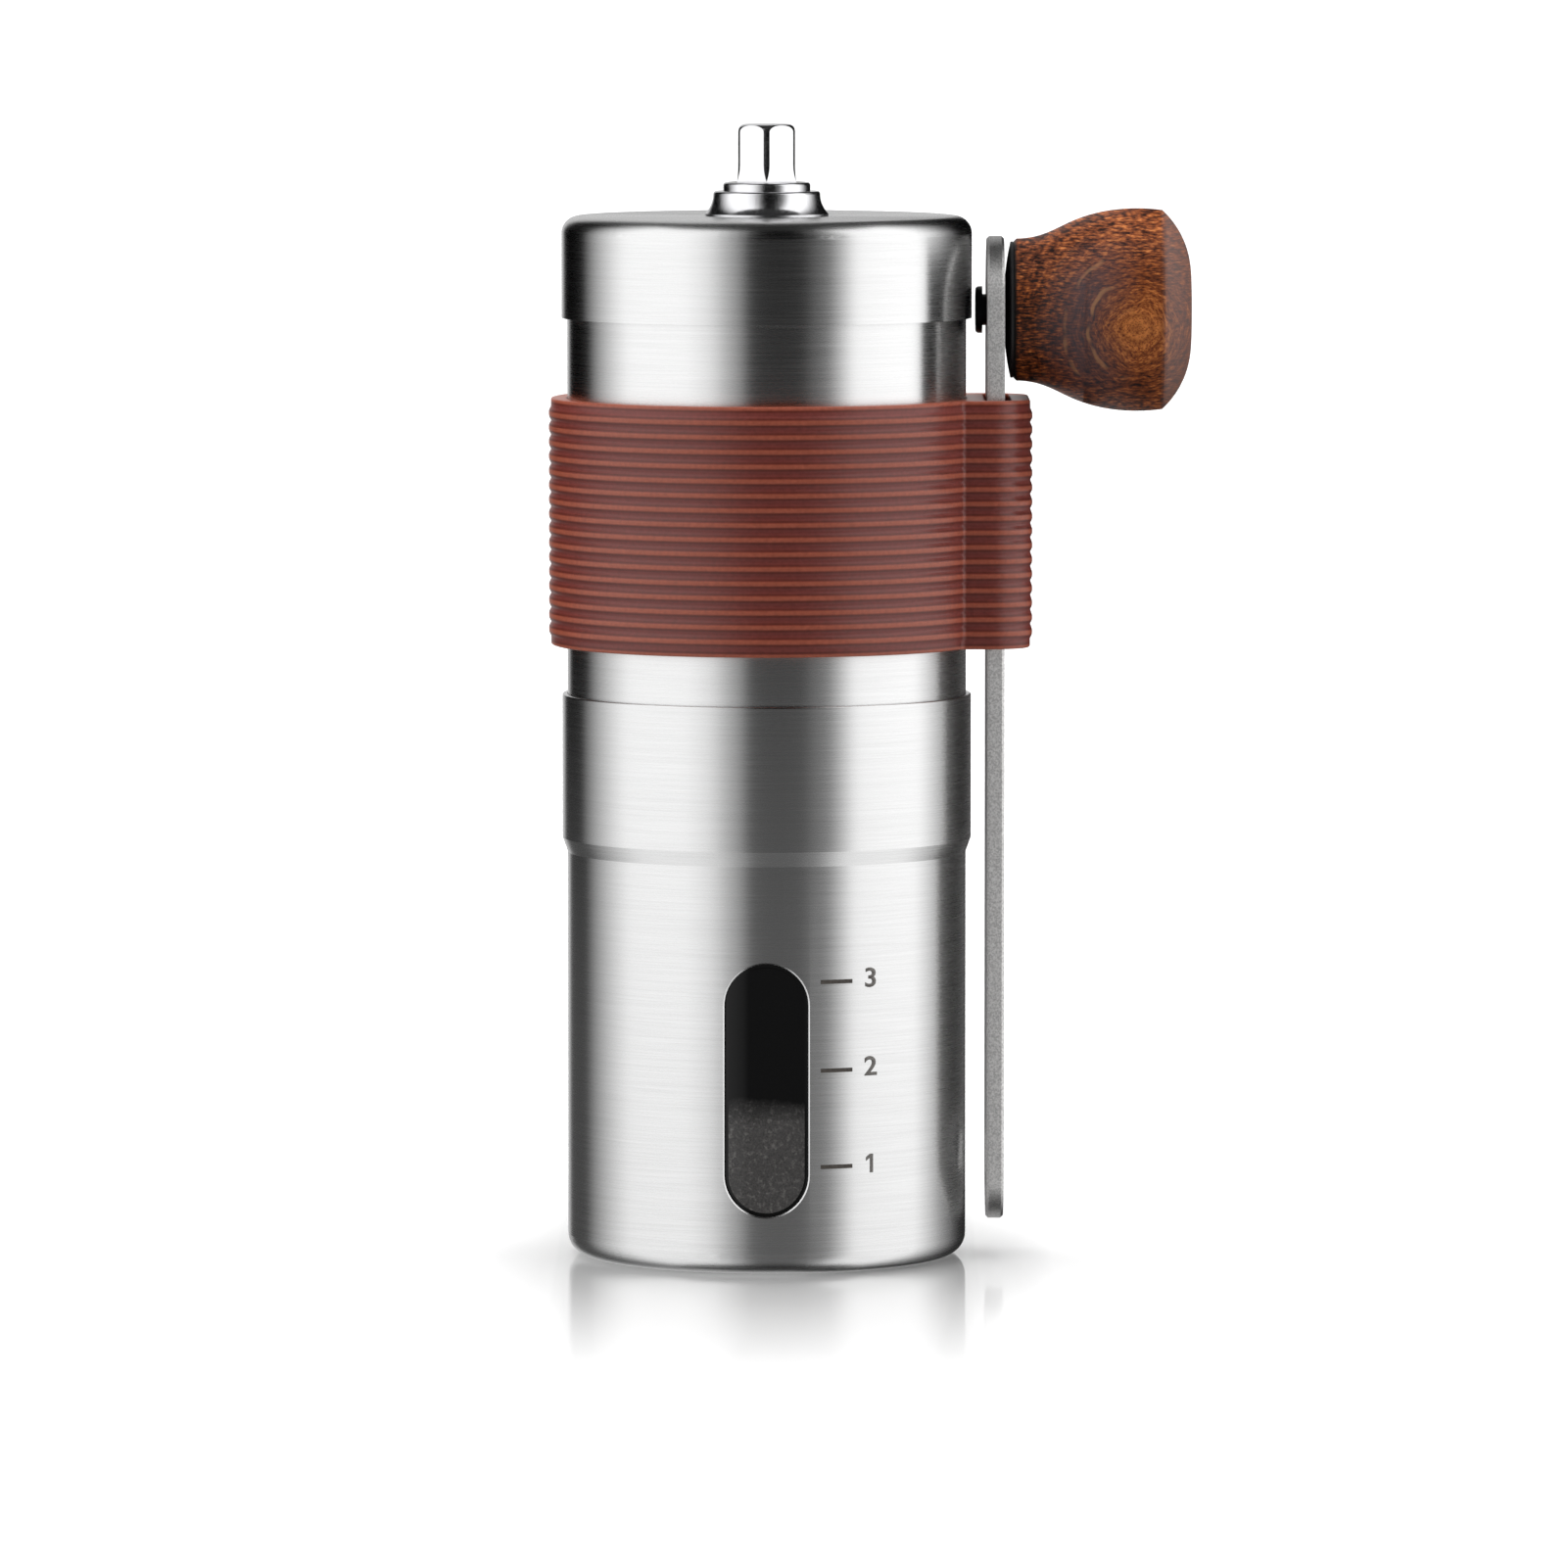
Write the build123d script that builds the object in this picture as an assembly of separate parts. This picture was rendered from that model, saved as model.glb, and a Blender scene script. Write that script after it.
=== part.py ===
"""Hand crank coffee grinder: a steel hopper on a steel catch cup, with a ribbed sleeve that stows the crank.

Millimetres, +Z up. The origin is the centre of the cup's base, the window faces -Y and the crank is on +X.
"""
import os
from math import cos, radians, sin, sqrt

from build123d import *

# Clearances, all on the radius or per face
CUP_FIT = 0.05
LID_FIT = 0.05
SLEEVE_FIT = 0.05
PRESS_FIT = 0.05
RUNNING_FIT = 0.05
THREAD_FIT = 0.02
LID_BUSH_FIT = 0.15
SEAT_GAP = 0.05

# Hopper tube
TUBE_OD = 46.0
TUBE_WALL = 0.6
TUBE_LENGTH = 70.0

# Catch cup
CUP_WALL = 0.55
CUP_FLOOR = 0.8
CUP_HEIGHT = 65.1
CUP_SEAT_LEDGE = 0.55
CUP_BASE_CORNER = 2.5
CUP_MOUTH_DEPTH = 16.6
SWAGE_HEIGHT = 1.7
RIM_ROUND = 0.2
BASE_RING_R = 15.0
BASE_RING_WIDTH = 1.4
BASE_RING_DEPTH = 0.35

# Window in the cup
SLOT_WIDTH = 9.6
SLOT_HEIGHT = 29.0
SLOT_MID_Z = 21.2
PANE_WALL = 1.0
PANE_MARGIN = 2.0
PANE_BOND_GAP = 0.03
PANE_SIDE_GAP = 0.45
PANE_SET_BACK = 0.3
SLOT_EDGE = 0.15

# Lid
LID_WALL = 0.6
LID_HEIGHT = 11.7
LID_CORNER = 2.0
LID_BUSH_WALL = 0.65
LID_BUSH_FLANGE_R = 8.5
LID_BUSH_FLANGE_WALL = 1.2
COLLAR_WALL = 0.57
COLLAR_STEP = 1.14
COLLAR_FLARE = 0.97
COLLAR_STEP_Z = 2.85
COLLAR_HEIGHT = 3.85
COLLAR_EDGE = 0.35
COLLAR_LIP = 0.25

# Grip sleeve with the loop that stows the crank
SLEEVE_WALL = 2.09
SLEEVE_OFFSET = 22.3
RIB_COUNT = 16
RIB_PITCH = 1.66
RIB_DEPTH = 0.25
RIB_WIDTH = 0.76
RIB_FLANK = 0.28
END_BAND = 0.95
LOOP_WALL = 2.5
LOOP_SIDE_WALL = 2.1
LOOP_CORNER = 5.0
LOOP_JOIN = 1.2
POCKET_INNER_GAP = 0.2
POCKET_OUTER_GAP = 0.7
POCKET_SIDE_GAP = 0.4
POCKET_CORNER = 1.2

# Crank arm
ARM_THICKNESS = 2.0
ARM_WIDTH = 17.0
ARM_FLOOR_GAP = 4.1
KNOB_STOW_GAP = 1.9
ARM_EDGE = 0.3

# Knob
KNOB_GAP = 1.1
KNOB_LENGTH = 20.45
KNOB_NECK_D = 16.4
KNOB_MAX_D = 23.35
KNOB_BELLY_X = 14.2
KNOB_SWELL_D = 20.2
KNOB_SWELL_X = 6.5
KNOB_CREASE_DROP = 0.2
KNOB_DOME = 3.3
KNOB_FLAT_D = 8.0
KNOB_NECK_EDGE = 0.35
PIN_R = 1.8
PIN_HEAD_R = 2.7
PIN_HEAD = 0.8
PIN_PLAY = 0.5
PIN_GRIP = 10.0
INSERT_WALL = 1.4
INSERT_LENGTH = 12.0
KNOB_WASHER_RIM = 0.3

# Drive shaft
SHAFT_R = 3.6
HEAD_STEP = 0.26
HEAD_FLARE = 2.0
DRIVE_CUT = 0.45
DRIVE_FIT = 0.12
DRIVE_SIDES = 5
DRIVE_LENGTH = 6.7
DRIVE_RUNOUT = 1.3
DRIVE_CROWN = 0.9
FLAT_CUT = 1.0
THREAD_STEP = 0.6
SHAFT_TAIL = 2.5
TAIL_CHAMFER = 0.6

# Burr housing and bearing bridge
HOUSING_INSET = 0.6
HOUSING_WALL = 5.3
HOUSING_LIP = 1.5
HOUSING_LIP_OVERLAP = 1.4
BRIDGE_RING = 2.5
BRIDGE_HUB_RISE = 1.5
BRIDGE_HUB = 10.0
BRIDGE_HUB_WALL = 2.0
BRIDGE_WEB = 3.0
BRIDGE_ARMS = 3
BRIDGE_ARM_TURN = 30.0
BRIDGE_MOUTH_LAND = 0.8
BUSH_WALL = 1.35
BUSH_FLANGE_LIP = 1.5
BUSH_FLANGE = 0.8
SCREW_R = 1.0
SCREW_HEAD_R = 1.7
SCREW_HEAD = 1.3
SCREW_LENGTH = 8.0
SCREW_SLOT = 0.5

# Burrs
BURR_RING_WALL = 2.2
BURR_HEIGHT = 10.0
BURR_SLOPE = 0.25
BURR_GAP = 0.17
BURR_TEETH = 28
BURR_TOOTH_DEPTH = 0.6
BURR_TOOTH_TURN = 6.0
BURR_THROAT = 2.6
BURR_LAND = 3.6
BURR_DROP = 0.5
CONE_TEETH = 7
CONE_TOP_WALL = 1.7
CONE_ROOT_SHARE = 0.84
CONE_TURN = 42.0
CONE_RISE = 0.5
CONE_SECTIONS = 4
CORE_WALL = 2.9
CORE_FLANGE = 1.2
CORE_FLANGE_R = 9.0
SPRING_SEAT_DEPTH = 3.5

# Spring, washers and clip
SPRING_WIRE = 1.0
SPRING_SHAFT_GAP = 1.2
SPRING_TURNS = 3.5
WASHER = 0.5
WASHER_LIP = 2.6
CLIP = 0.8
CLIP_GROOVE = 0.7
CLIP_MOUTH_SHARE = 1.5

# Grind dial
DIAL_HEIGHT = 5.85
DIAL_R = 9.5
DIAL_SCALLOPS = 8
DIAL_SCALLOP_R = 2.2
DIAL_GAP = 0.15
DIAL_TRAVEL_UP = 0.42
DIAL_TRAVEL_DOWN = 1.0
DIAL_INSERT_WALL = 1.45

# Radii and heights that follow from the sizes above
tube_r = TUBE_OD / 2
tube_bore_r = tube_r - TUBE_WALL
tube_z0 = CUP_HEIGHT - CUP_MOUTH_DEPTH
tube_z1 = tube_z0 + TUBE_LENGTH

swage_z = tube_z0 - SWAGE_HEIGHT
cup_mouth_bore_r = tube_r + CUP_FIT
cup_mouth_r = cup_mouth_bore_r + CUP_WALL
cup_bore_r = tube_r - CUP_SEAT_LEDGE
cup_r = cup_bore_r + CUP_WALL

lid_bore_r = tube_r + LID_FIT
lid_r = lid_bore_r + LID_WALL
lid_bore_corner = LID_CORNER - LID_WALL
lid_rim_reach = lid_bore_corner - LID_FIT
lid_ceiling_z = tube_z1 + SEAT_GAP + lid_bore_corner - sqrt(lid_bore_corner**2 - lid_rim_reach**2)
lid_z1 = lid_ceiling_z + LID_WALL
lid_z0 = lid_z1 - LID_HEIGHT
head_r = SHAFT_R - HEAD_STEP
drive_apothem = head_r - DRIVE_CUT
flat_half = SHAFT_R - FLAT_CUT
thread_r = SHAFT_R - THREAD_STEP
lid_bush_bore_r = SHAFT_R + LID_BUSH_FIT
lid_bush_r = lid_bush_bore_r + LID_BUSH_WALL
lid_hole_r = lid_bush_r + PRESS_FIT
collar_z1 = lid_z1 + COLLAR_HEIGHT
collar_top_r = lid_hole_r + COLLAR_WALL
collar_waist_r = collar_top_r + COLLAR_STEP
collar_foot_r = collar_waist_r + COLLAR_FLARE

sleeve_bore_r = tube_r + SLEEVE_FIT
sleeve_r = sleeve_bore_r + SLEEVE_WALL
sleeve_z0 = tube_z0 + SLEEVE_OFFSET
sleeve_height = RIB_COUNT * RIB_PITCH + 2 * END_BAND
arm_x0 = sleeve_r + POCKET_INNER_GAP
arm_x1 = arm_x0 + ARM_THICKNESS
pocket_x1 = arm_x1 + POCKET_OUTER_GAP
pocket_half = ARM_WIDTH / 2 + POCKET_SIDE_GAP
loop_x1 = pocket_x1 + LOOP_WALL
loop_half = pocket_half + LOOP_SIDE_WALL

arm_low_z = ARM_FLOOR_GAP + ARM_WIDTH / 2
arm_high_z = sleeve_z0 + sleeve_height + KNOB_STOW_GAP + KNOB_NECK_D / 2
arm_span = arm_high_z - arm_low_z
knob_x0 = arm_x1 + KNOB_GAP
insert_r = PIN_R + THREAD_FIT + INSERT_WALL

housing_r = tube_bore_r - PRESS_FIT
housing_z0 = tube_z0 + HOUSING_INSET
burr_pocket_r = housing_r - HOUSING_WALL
burr_ring_r = burr_pocket_r - PRESS_FIT
burr_mouth_r = burr_ring_r - BURR_RING_WALL
housing_lip_r = burr_ring_r - HOUSING_LIP_OVERLAP
burr_z0 = housing_z0 + HOUSING_LIP
burr_z1 = burr_z0 + BURR_HEIGHT
bridge_z0 = burr_z1 + SEAT_GAP
bridge_z1 = bridge_z0 + BRIDGE_RING
hub_z0 = bridge_z1 + BRIDGE_HUB_RISE
hub_z1 = hub_z0 + BRIDGE_HUB
bush_bore_r = SHAFT_R + RUNNING_FIT
bush_r = bush_bore_r + BUSH_WALL
hub_bore_r = bush_r + PRESS_FIT
hub_r = hub_bore_r + BRIDGE_HUB_WALL
screw_circle_r = (burr_pocket_r + housing_r) / 2
bush_z1 = hub_z1 + BUSH_FLANGE
washer_r = SHAFT_R + WASHER_LIP
clip_z0 = bush_z1 + SEAT_GAP + WASHER + SEAT_GAP

cone_z0 = burr_z0 - BURR_DROP
land_z1 = cone_z0 + BURR_LAND
cone_z1 = burr_z1 + CONE_RISE
core_bore_r = SHAFT_R + RUNNING_FIT
core_r = core_bore_r + CORE_WALL
cone_top_r = core_r + PRESS_FIT + CONE_TOP_WALL
core_z0 = cone_z0 - CORE_FLANGE
spring_z0 = cone_z1 - SPRING_SEAT_DEPTH
spring_z1 = hub_z0 - WASHER - SEAT_GAP
spring_mean_r = SHAFT_R + SPRING_SHAFT_GAP + SPRING_WIRE / 2
dial_z1 = core_z0 - DIAL_GAP
dial_z0 = dial_z1 - DIAL_HEIGHT
dial_bore_r = thread_r + RUNNING_FIT
dial_insert_r = dial_bore_r + DIAL_INSERT_WALL
thread_z1 = core_z0 + DIAL_TRAVEL_UP + SEAT_GAP
shaft_z0 = dial_z0 - SHAFT_TAIL
shaft_z1 = collar_z1 + DRIVE_LENGTH


def turned(*points):
    """A solid turned about Z from an outline of (radius, height) points."""
    return revolve(Plane.XZ * make_face(Polyline(*points, close=True)), Axis.Z)


def disc(radius, z0, z1):
    """A plain disc or bar about Z."""
    return Pos(0, 0, z0) * extrude(Circle(radius), z1 - z0)


def ring(outer_r, inner_r, z0, z1):
    """A plain ring about Z."""
    return Pos(0, 0, z0) * extrude(Circle(outer_r) - Circle(inner_r), z1 - z0)


def rounded_disc(radius, corner, z0, z1, upper):
    """A disc about Z with one rim rounded, the upper or the lower."""
    rims = disc(radius, z0, z1).edges().sort_by(Axis.Z)
    return fillet(rims[-1] if upper else rims[0], corner)


def slot_bar(width, height, mid_z, depth):
    """An upright bar of rounded-end section, centred on X and Z, that runs from the axis out to -Y."""
    outline = Plane.XZ * SlotOverall(height, width, rotation=90)
    return Pos(0, 0, mid_z) * extrude(outline, depth)


# Catch cup


def swaged_mouth(low_r, high_r):
    """The upper part of the cup as a full bar: a short cone, then straight to the rim."""
    return turned((0, swage_z), (low_r, swage_z), (high_r, tube_z0), (high_r, CUP_HEIGHT), (0, CUP_HEIGHT))


def cup_shell():
    """The drawn steel cup: flat base with a stamped ring, a swaged mouth and the window slot."""
    body = rounded_disc(cup_r, CUP_BASE_CORNER, 0, swage_z, upper=False)
    hollow = rounded_disc(cup_bore_r, CUP_BASE_CORNER - CUP_WALL, CUP_FLOOR, swage_z, upper=False)
    cup = body + swaged_mouth(cup_r, cup_mouth_r) - hollow - swaged_mouth(cup_bore_r, cup_mouth_bore_r)
    cup = fillet(cup.edges().group_by(Axis.Z)[-1].sort_by(SortBy.RADIUS)[-1], RIM_ROUND)
    cup -= ring(BASE_RING_R, BASE_RING_R - BASE_RING_WIDTH, 0, BASE_RING_DEPTH)
    cup -= slot_bar(SLOT_WIDTH, SLOT_HEIGHT, SLOT_MID_Z, cup_r + 1)
    low_z = SLOT_MID_Z - SLOT_HEIGHT / 2
    rims = cup.edges().filter_by_position(Axis.Z, low_z, low_z + SLOT_HEIGHT)
    slot_rim = [rim for rim in rims if abs(Vector((rim @ 0).X, (rim @ 0).Y).length - cup_r) < RIM_ROUND / 2]
    return chamfer(slot_rim, SLOT_EDGE)


def cup_window():
    """The clear pane bonded inside the cup, with a raised boss that fills the slot."""
    margin = 2 * PANE_MARGIN
    pane_r = cup_bore_r - PANE_BOND_GAP
    pane = ring(pane_r, cup_bore_r - PANE_WALL, 0, swage_z)
    pane &= slot_bar(SLOT_WIDTH + margin, SLOT_HEIGHT + margin, SLOT_MID_Z, cup_r)
    gap = 2 * PANE_SIDE_GAP
    boss = ring(cup_r - PANE_SET_BACK, cup_bore_r - PANE_WALL, 0, swage_z)
    boss &= slot_bar(SLOT_WIDTH - gap, SLOT_HEIGHT - gap, SLOT_MID_Z, cup_r)
    return pane + boss


# Hopper


def hopper_tube():
    """The plain steel tube that holds the beans, with its upper rim eased."""
    tube = ring(tube_r, tube_bore_r, tube_z0, tube_z1)
    return fillet(tube.edges().group_by(Axis.Z)[-1].sort_by(SortBy.RADIUS)[-1], RIM_ROUND)


def sleeve_outline(inset):
    """The sleeve's plan: a ring with a round-cornered loop on +X, drawn in by inset all round."""
    half = loop_half - inset
    loop = Pos(loop_x1 / 2 - inset / 2, 0) * Rectangle(loop_x1 - inset, 2 * half)
    loop = fillet(loop.vertices().group_by(Axis.X)[-1], LOOP_CORNER - inset)
    plan = Circle(sleeve_r - inset) + loop
    join_x = sqrt((sleeve_r - inset) ** 2 - half**2)
    joins = plan.vertices().sort_by(lambda corner: abs(corner.X - join_x))[:2]
    return fillet(joins, LOOP_JOIN + inset)


def grip_sleeve():
    """The moulded silicone sleeve: ribs all round, a bore for the tube and a pocket for the crank arm."""
    core = extrude(sleeve_outline(RIB_DEPTH), sleeve_height)
    rib = Pos(0, 0, RIB_FLANK) * extrude(sleeve_outline(0), RIB_WIDTH - 2 * RIB_FLANK)
    for below in (True, False):
        flank = loft([sleeve_outline(RIB_DEPTH), Pos(0, 0, RIB_FLANK) * sleeve_outline(0)], ruled=True)
        rib += flank if below else Pos(0, 0, RIB_WIDTH) * mirror(flank, Plane.XY)
    rib_z0 = END_BAND + (RIB_PITCH - RIB_WIDTH) / 2
    ribs = [Pos(0, 0, rib_z0 + index * RIB_PITCH) * rib for index in range(RIB_COUNT)]
    bore = extrude(Circle(sleeve_bore_r), sleeve_height)
    pocket_mid = (sleeve_r + pocket_x1) / 2
    pocket = Pos(pocket_mid, 0) * RectangleRounded(pocket_x1 - sleeve_r, 2 * pocket_half, POCKET_CORNER)
    sleeve = core + ribs - bore - extrude(pocket, sleeve_height)
    return Pos(0, 0, sleeve_z0) * sleeve


def burr_housing():
    """The moulded ring pressed into the tube: a pocket for the burr ring over a lip, with screw holes."""
    housing = turned(
        (housing_lip_r, housing_z0),
        (housing_r, housing_z0),
        (housing_r, bridge_z0),
        (burr_pocket_r, bridge_z0),
        (burr_pocket_r, burr_z0),
        (housing_lip_r, burr_z0),
    )
    depth = SCREW_LENGTH - BRIDGE_RING + SEAT_GAP
    return housing - screw_places(disc(SCREW_R + THREAD_FIT, bridge_z0 - depth, bridge_z0))


def screw_places(piece):
    """Copies of a piece at the bridge's screws, each between two bridge arms."""
    step = 360 / BRIDGE_ARMS
    turns = [BRIDGE_ARM_TURN + step * (index + 0.5) for index in range(BRIDGE_ARMS)]
    return [Rot(0, 0, turn) * Pos(screw_circle_r, 0, 0) * piece for turn in turns]


def bearing_bridge():
    """The funnel ring over the burrs with three arms that carry the shaft's bearing hub."""
    ring_r = housing_r - PRESS_FIT
    mouth_r = burr_mouth_r
    bridge = turned(
        (mouth_r, bridge_z0),
        (ring_r, bridge_z0),
        (ring_r, bridge_z1),
        (screw_circle_r - SCREW_HEAD_R - BRIDGE_MOUTH_LAND, bridge_z1),
        (mouth_r, bridge_z0 + BRIDGE_RING / 2),
    )
    bridge += ring(hub_r, hub_bore_r, hub_z0, hub_z1)
    web_in = (hub_r + hub_bore_r) / 2
    web_out = ring_r - BRIDGE_MOUTH_LAND
    web = make_face(
        Polyline(
            (web_in, hub_z0),
            (web_in, hub_z1 - BRIDGE_HUB_WALL),
            (web_out, bridge_z1),
            (web_out, bridge_z0),
            (mouth_r, bridge_z0),
            close=True,
        )
    )
    web = Pos(0, BRIDGE_WEB / 2, 0) * extrude(Plane.XZ * web, BRIDGE_WEB)
    for index in range(BRIDGE_ARMS):
        bridge += Rot(0, 0, BRIDGE_ARM_TURN + 360 / BRIDGE_ARMS * index) * web
    return bridge - screw_places(disc(SCREW_R + RUNNING_FIT, bridge_z0, bridge_z1))


def bridge_screws():
    """The small pan head screws that clamp the bridge and the burr ring to the housing."""
    head = rounded_disc(SCREW_HEAD_R, SCREW_HEAD / 2, bridge_z1, bridge_z1 + SCREW_HEAD, upper=True)
    head -= Pos(0, 0, bridge_z1 + SCREW_HEAD) * Box(2 * SCREW_HEAD_R, SCREW_SLOT, SCREW_HEAD)
    screw = head + disc(SCREW_R, bridge_z1 - SCREW_LENGTH, bridge_z1)
    return Compound(children=screw_places(screw))


def bridge_bush():
    """The flanged bush that the drive shaft turns in."""
    flange = ring(bush_r + BUSH_FLANGE_LIP, bush_bore_r, hub_z1, bush_z1)
    return ring(bush_r, bush_bore_r, hub_z0, hub_z1) + flange


# Burrs


def toothed_section(crest_r, root_r, teeth, turn, z):
    """A star outline at height z: sharp crests, with roots half a tooth on."""
    step = 360 / teeth
    corners = []
    for index in range(teeth):
        for radius, share in ((crest_r, 0.0), (root_r, 0.5)):
            angle = radians(turn + step * (index + share))
            corners.append((radius * cos(angle), radius * sin(angle)))
    return Pos(0, 0, z) * make_face(Polyline(*corners, close=True))


def ring_crest_r(z):
    """The burr ring's crest radius at a height: the cone that the two burrs share."""
    return burr_mouth_r - BURR_SLOPE * (z - burr_z0)


def outer_burr():
    """The fixed ceramic ring: slanting teeth inside, and a wide throat where the beans drop in."""
    sections = []
    for z, turn in ((burr_z0, 0.0), (burr_z1, BURR_TOOTH_TURN)):
        crest_r = ring_crest_r(z)
        sections.append(toothed_section(crest_r, crest_r + BURR_TOOTH_DEPTH, BURR_TEETH, turn, z))
    throat_z = burr_z1 - BURR_THROAT
    throat = turned(
        (0, throat_z),
        (ring_crest_r(throat_z), throat_z),
        (burr_mouth_r, burr_z1),
        (0, burr_z1),
    )
    return disc(burr_ring_r, burr_z0, burr_z1) - loft(sections, ruled=True) - throat


def inner_burr():
    """The turning ceramic cone: fine slanting teeth on the land, and steep crushing ridges above."""
    land = []
    for z, turn in ((cone_z0, 0.0), (land_z1, -BURR_TOOTH_TURN)):
        crest_r = ring_crest_r(z) - BURR_GAP
        land.append(toothed_section(crest_r, crest_r - BURR_TOOTH_DEPTH, BURR_TEETH, turn, z))
    foot_r = ring_crest_r(land_z1) - BURR_GAP - BURR_TOOTH_DEPTH
    ridges = []
    for index in range(CONE_SECTIONS):
        share = index / (CONE_SECTIONS - 1)
        crest_r = foot_r + (cone_top_r - foot_r) * share
        root_r = crest_r * (CONE_ROOT_SHARE + (1 - CONE_ROOT_SHARE) * share / 2)
        z = land_z1 + (cone_z1 - land_z1) * share
        ridges.append(toothed_section(crest_r, root_r, CONE_TEETH, CONE_TURN * share, z))
    cone = loft(land, ruled=True) + loft(ridges, ruled=True)
    return cone - disc(core_r + PRESS_FIT, cone_z0, cone_z1)


def drive_hole(z0, z1):
    """A round hole with two flats, for the shaft's driving flats."""
    outline = Circle(core_bore_r) & Rectangle(2 * core_bore_r, 2 * (flat_half + RUNNING_FIT))
    return Pos(0, 0, z0) * extrude(outline, z1 - z0)


def burr_core():
    """The hub bonded into the cone: it takes the shaft's flats, seats the spring and meets the dial."""
    core = disc(core_r, core_z0, spring_z0) + disc(CORE_FLANGE_R, core_z0, cone_z0)
    return core - drive_hole(core_z0, spring_z0)


# Drive line


def drive_shaft():
    """The steel shaft: a five sided head on a flared neck, a clip groove, driving flats and a threaded tail."""
    flare_z = collar_z1 + HEAD_FLARE
    crown_z = shaft_z1 - DRIVE_CROWN
    flare = TangentArc((head_r, flare_z), (SHAFT_R, collar_z1), tangent=(0, -1))
    crown = TangentArc((head_r, crown_z), (head_r - DRIVE_CROWN, shaft_z1), tangent=(0, 1))
    rest = Polyline(
        (head_r - DRIVE_CROWN, shaft_z1), (0, shaft_z1), (0, thread_z1), (SHAFT_R, thread_z1), (SHAFT_R, collar_z1)
    )
    bar = make_face(flare + Line((head_r, flare_z), (head_r, crown_z)) + crown + rest)
    tail = disc(thread_r, shaft_z0, thread_z1)
    shaft = revolve(Plane.XZ * bar, Axis.Z) + chamfer(tail.edges().sort_by(Axis.Z)[0], TAIL_CHAMFER)
    shaft -= ring(2 * SHAFT_R, SHAFT_R - CLIP_GROOVE, clip_z0 - SEAT_GAP, clip_z0 + CLIP + SEAT_GAP)
    flats_z0 = core_z0 - DIAL_TRAVEL_DOWN - SEAT_GAP
    flats_z1 = spring_z0 + DIAL_TRAVEL_UP + SEAT_GAP
    side = Pos(0, flat_half, flats_z0) * Box(
        2 * SHAFT_R, SHAFT_R, flats_z1 - flats_z0, align=(Align.CENTER, Align.MIN, Align.MIN)
    )
    shaft -= side + mirror(side, Plane.XZ)
    cutter = Pos(drive_apothem, 0, collar_z1 - DRIVE_RUNOUT) * Box(
        SHAFT_R, 3 * SHAFT_R, 2 * DRIVE_LENGTH, align=(Align.MIN, Align.CENTER, Align.MIN)
    )
    foot = cutter.edges().filter_by(Axis.Y).sort_by(lambda edge: edge.center().X + edge.center().Z)[0]
    cutter = fillet(foot, DRIVE_RUNOUT)
    step = 360 / DRIVE_SIDES
    for index in range(DRIVE_SIDES):
        shaft -= Rot(0, 0, -90 + step * (index + 0.5)) * cutter
    return shaft


def thrust_washer():
    """The washer between the bush's flange and the clip."""
    return ring(washer_r, SHAFT_R + RUNNING_FIT, bush_z1 + SEAT_GAP, bush_z1 + SEAT_GAP + WASHER)


def shaft_clip():
    """The spring clip in the shaft's groove that hangs the shaft on its bush."""
    inner_r = SHAFT_R - CLIP_GROOVE + RUNNING_FIT
    mouth = Pos(washer_r, 0) * Rectangle(2 * washer_r, CLIP_MOUTH_SHARE * inner_r)
    outline = Circle(washer_r) - Circle(inner_r) - mouth
    return Pos(0, 0, clip_z0) * extrude(outline, CLIP)


def spring_washer():
    """The washer under the hub that the spring pushes on."""
    return ring(washer_r, SHAFT_R + RUNNING_FIT, spring_z1, spring_z1 + WASHER)


def spring_point(turns, climb):
    """A point of the spring's centreline and its direction, after a number of turns."""
    angle = 360 * turns
    spot = Vector(spring_mean_r, 0, 0).rotate(Axis.Z, angle) + Vector(0, 0, climb * turns)
    heading = Vector(0, 6.283185 * spring_mean_r, climb).rotate(Axis.Z, angle)
    return spot, heading.normalized()


def biarc(start, end):
    """Two arcs that run from one point and direction to another, tangent throughout."""
    (p0, t0), (p1, t1) = start, end
    span = p1 - p0
    both = t0 + t1
    bend = 2 * (1 - t0.dot(t1))
    reach = (sqrt(span.dot(both) ** 2 + bend * span.dot(span)) - span.dot(both)) / bend
    middle = (p0 + p1 + (t0 - t1) * reach) * 0.5
    heading = (p1 - t1 * reach) - (p0 + t0 * reach)
    return [TangentArc(p0, middle, tangent=t0), TangentArc(middle, p1, tangent=heading)]


def burr_spring():
    """The coil spring that holds the cone down on its dial."""
    climb = (spring_z1 - spring_z0 - SPRING_WIRE - 2 * SEAT_GAP) / SPRING_TURNS
    print("spring: least gap between turns", round(climb - SPRING_WIRE, 2))
    quarters = int(4 * SPRING_TURNS)
    stations = [spring_point(index / 4, climb) for index in range(quarters + 1)]
    arcs = [arc for start, end in zip(stations, stations[1:]) for arc in biarc(start, end)]
    path = Wire(arcs)
    section = Plane(origin=stations[0][0], z_dir=stations[0][1]) * Circle(SPRING_WIRE / 2)
    return Pos(0, 0, spring_z0 + SPRING_WIRE / 2 + SEAT_GAP) * sweep(section, path=path)


def adjust_dial():
    """The scalloped grind dial under the cone."""
    outline = Circle(DIAL_R) - Circle(dial_insert_r + PRESS_FIT)
    outline -= PolarLocations(DIAL_R + DIAL_SCALLOP_R / 2, DIAL_SCALLOPS) * Circle(DIAL_SCALLOP_R)
    return Pos(0, 0, dial_z0) * extrude(outline, DIAL_HEIGHT)


def dial_insert():
    """The threaded brass insert moulded into the dial."""
    return ring(dial_insert_r, dial_bore_r, dial_z0, dial_z1)


# Lid


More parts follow.
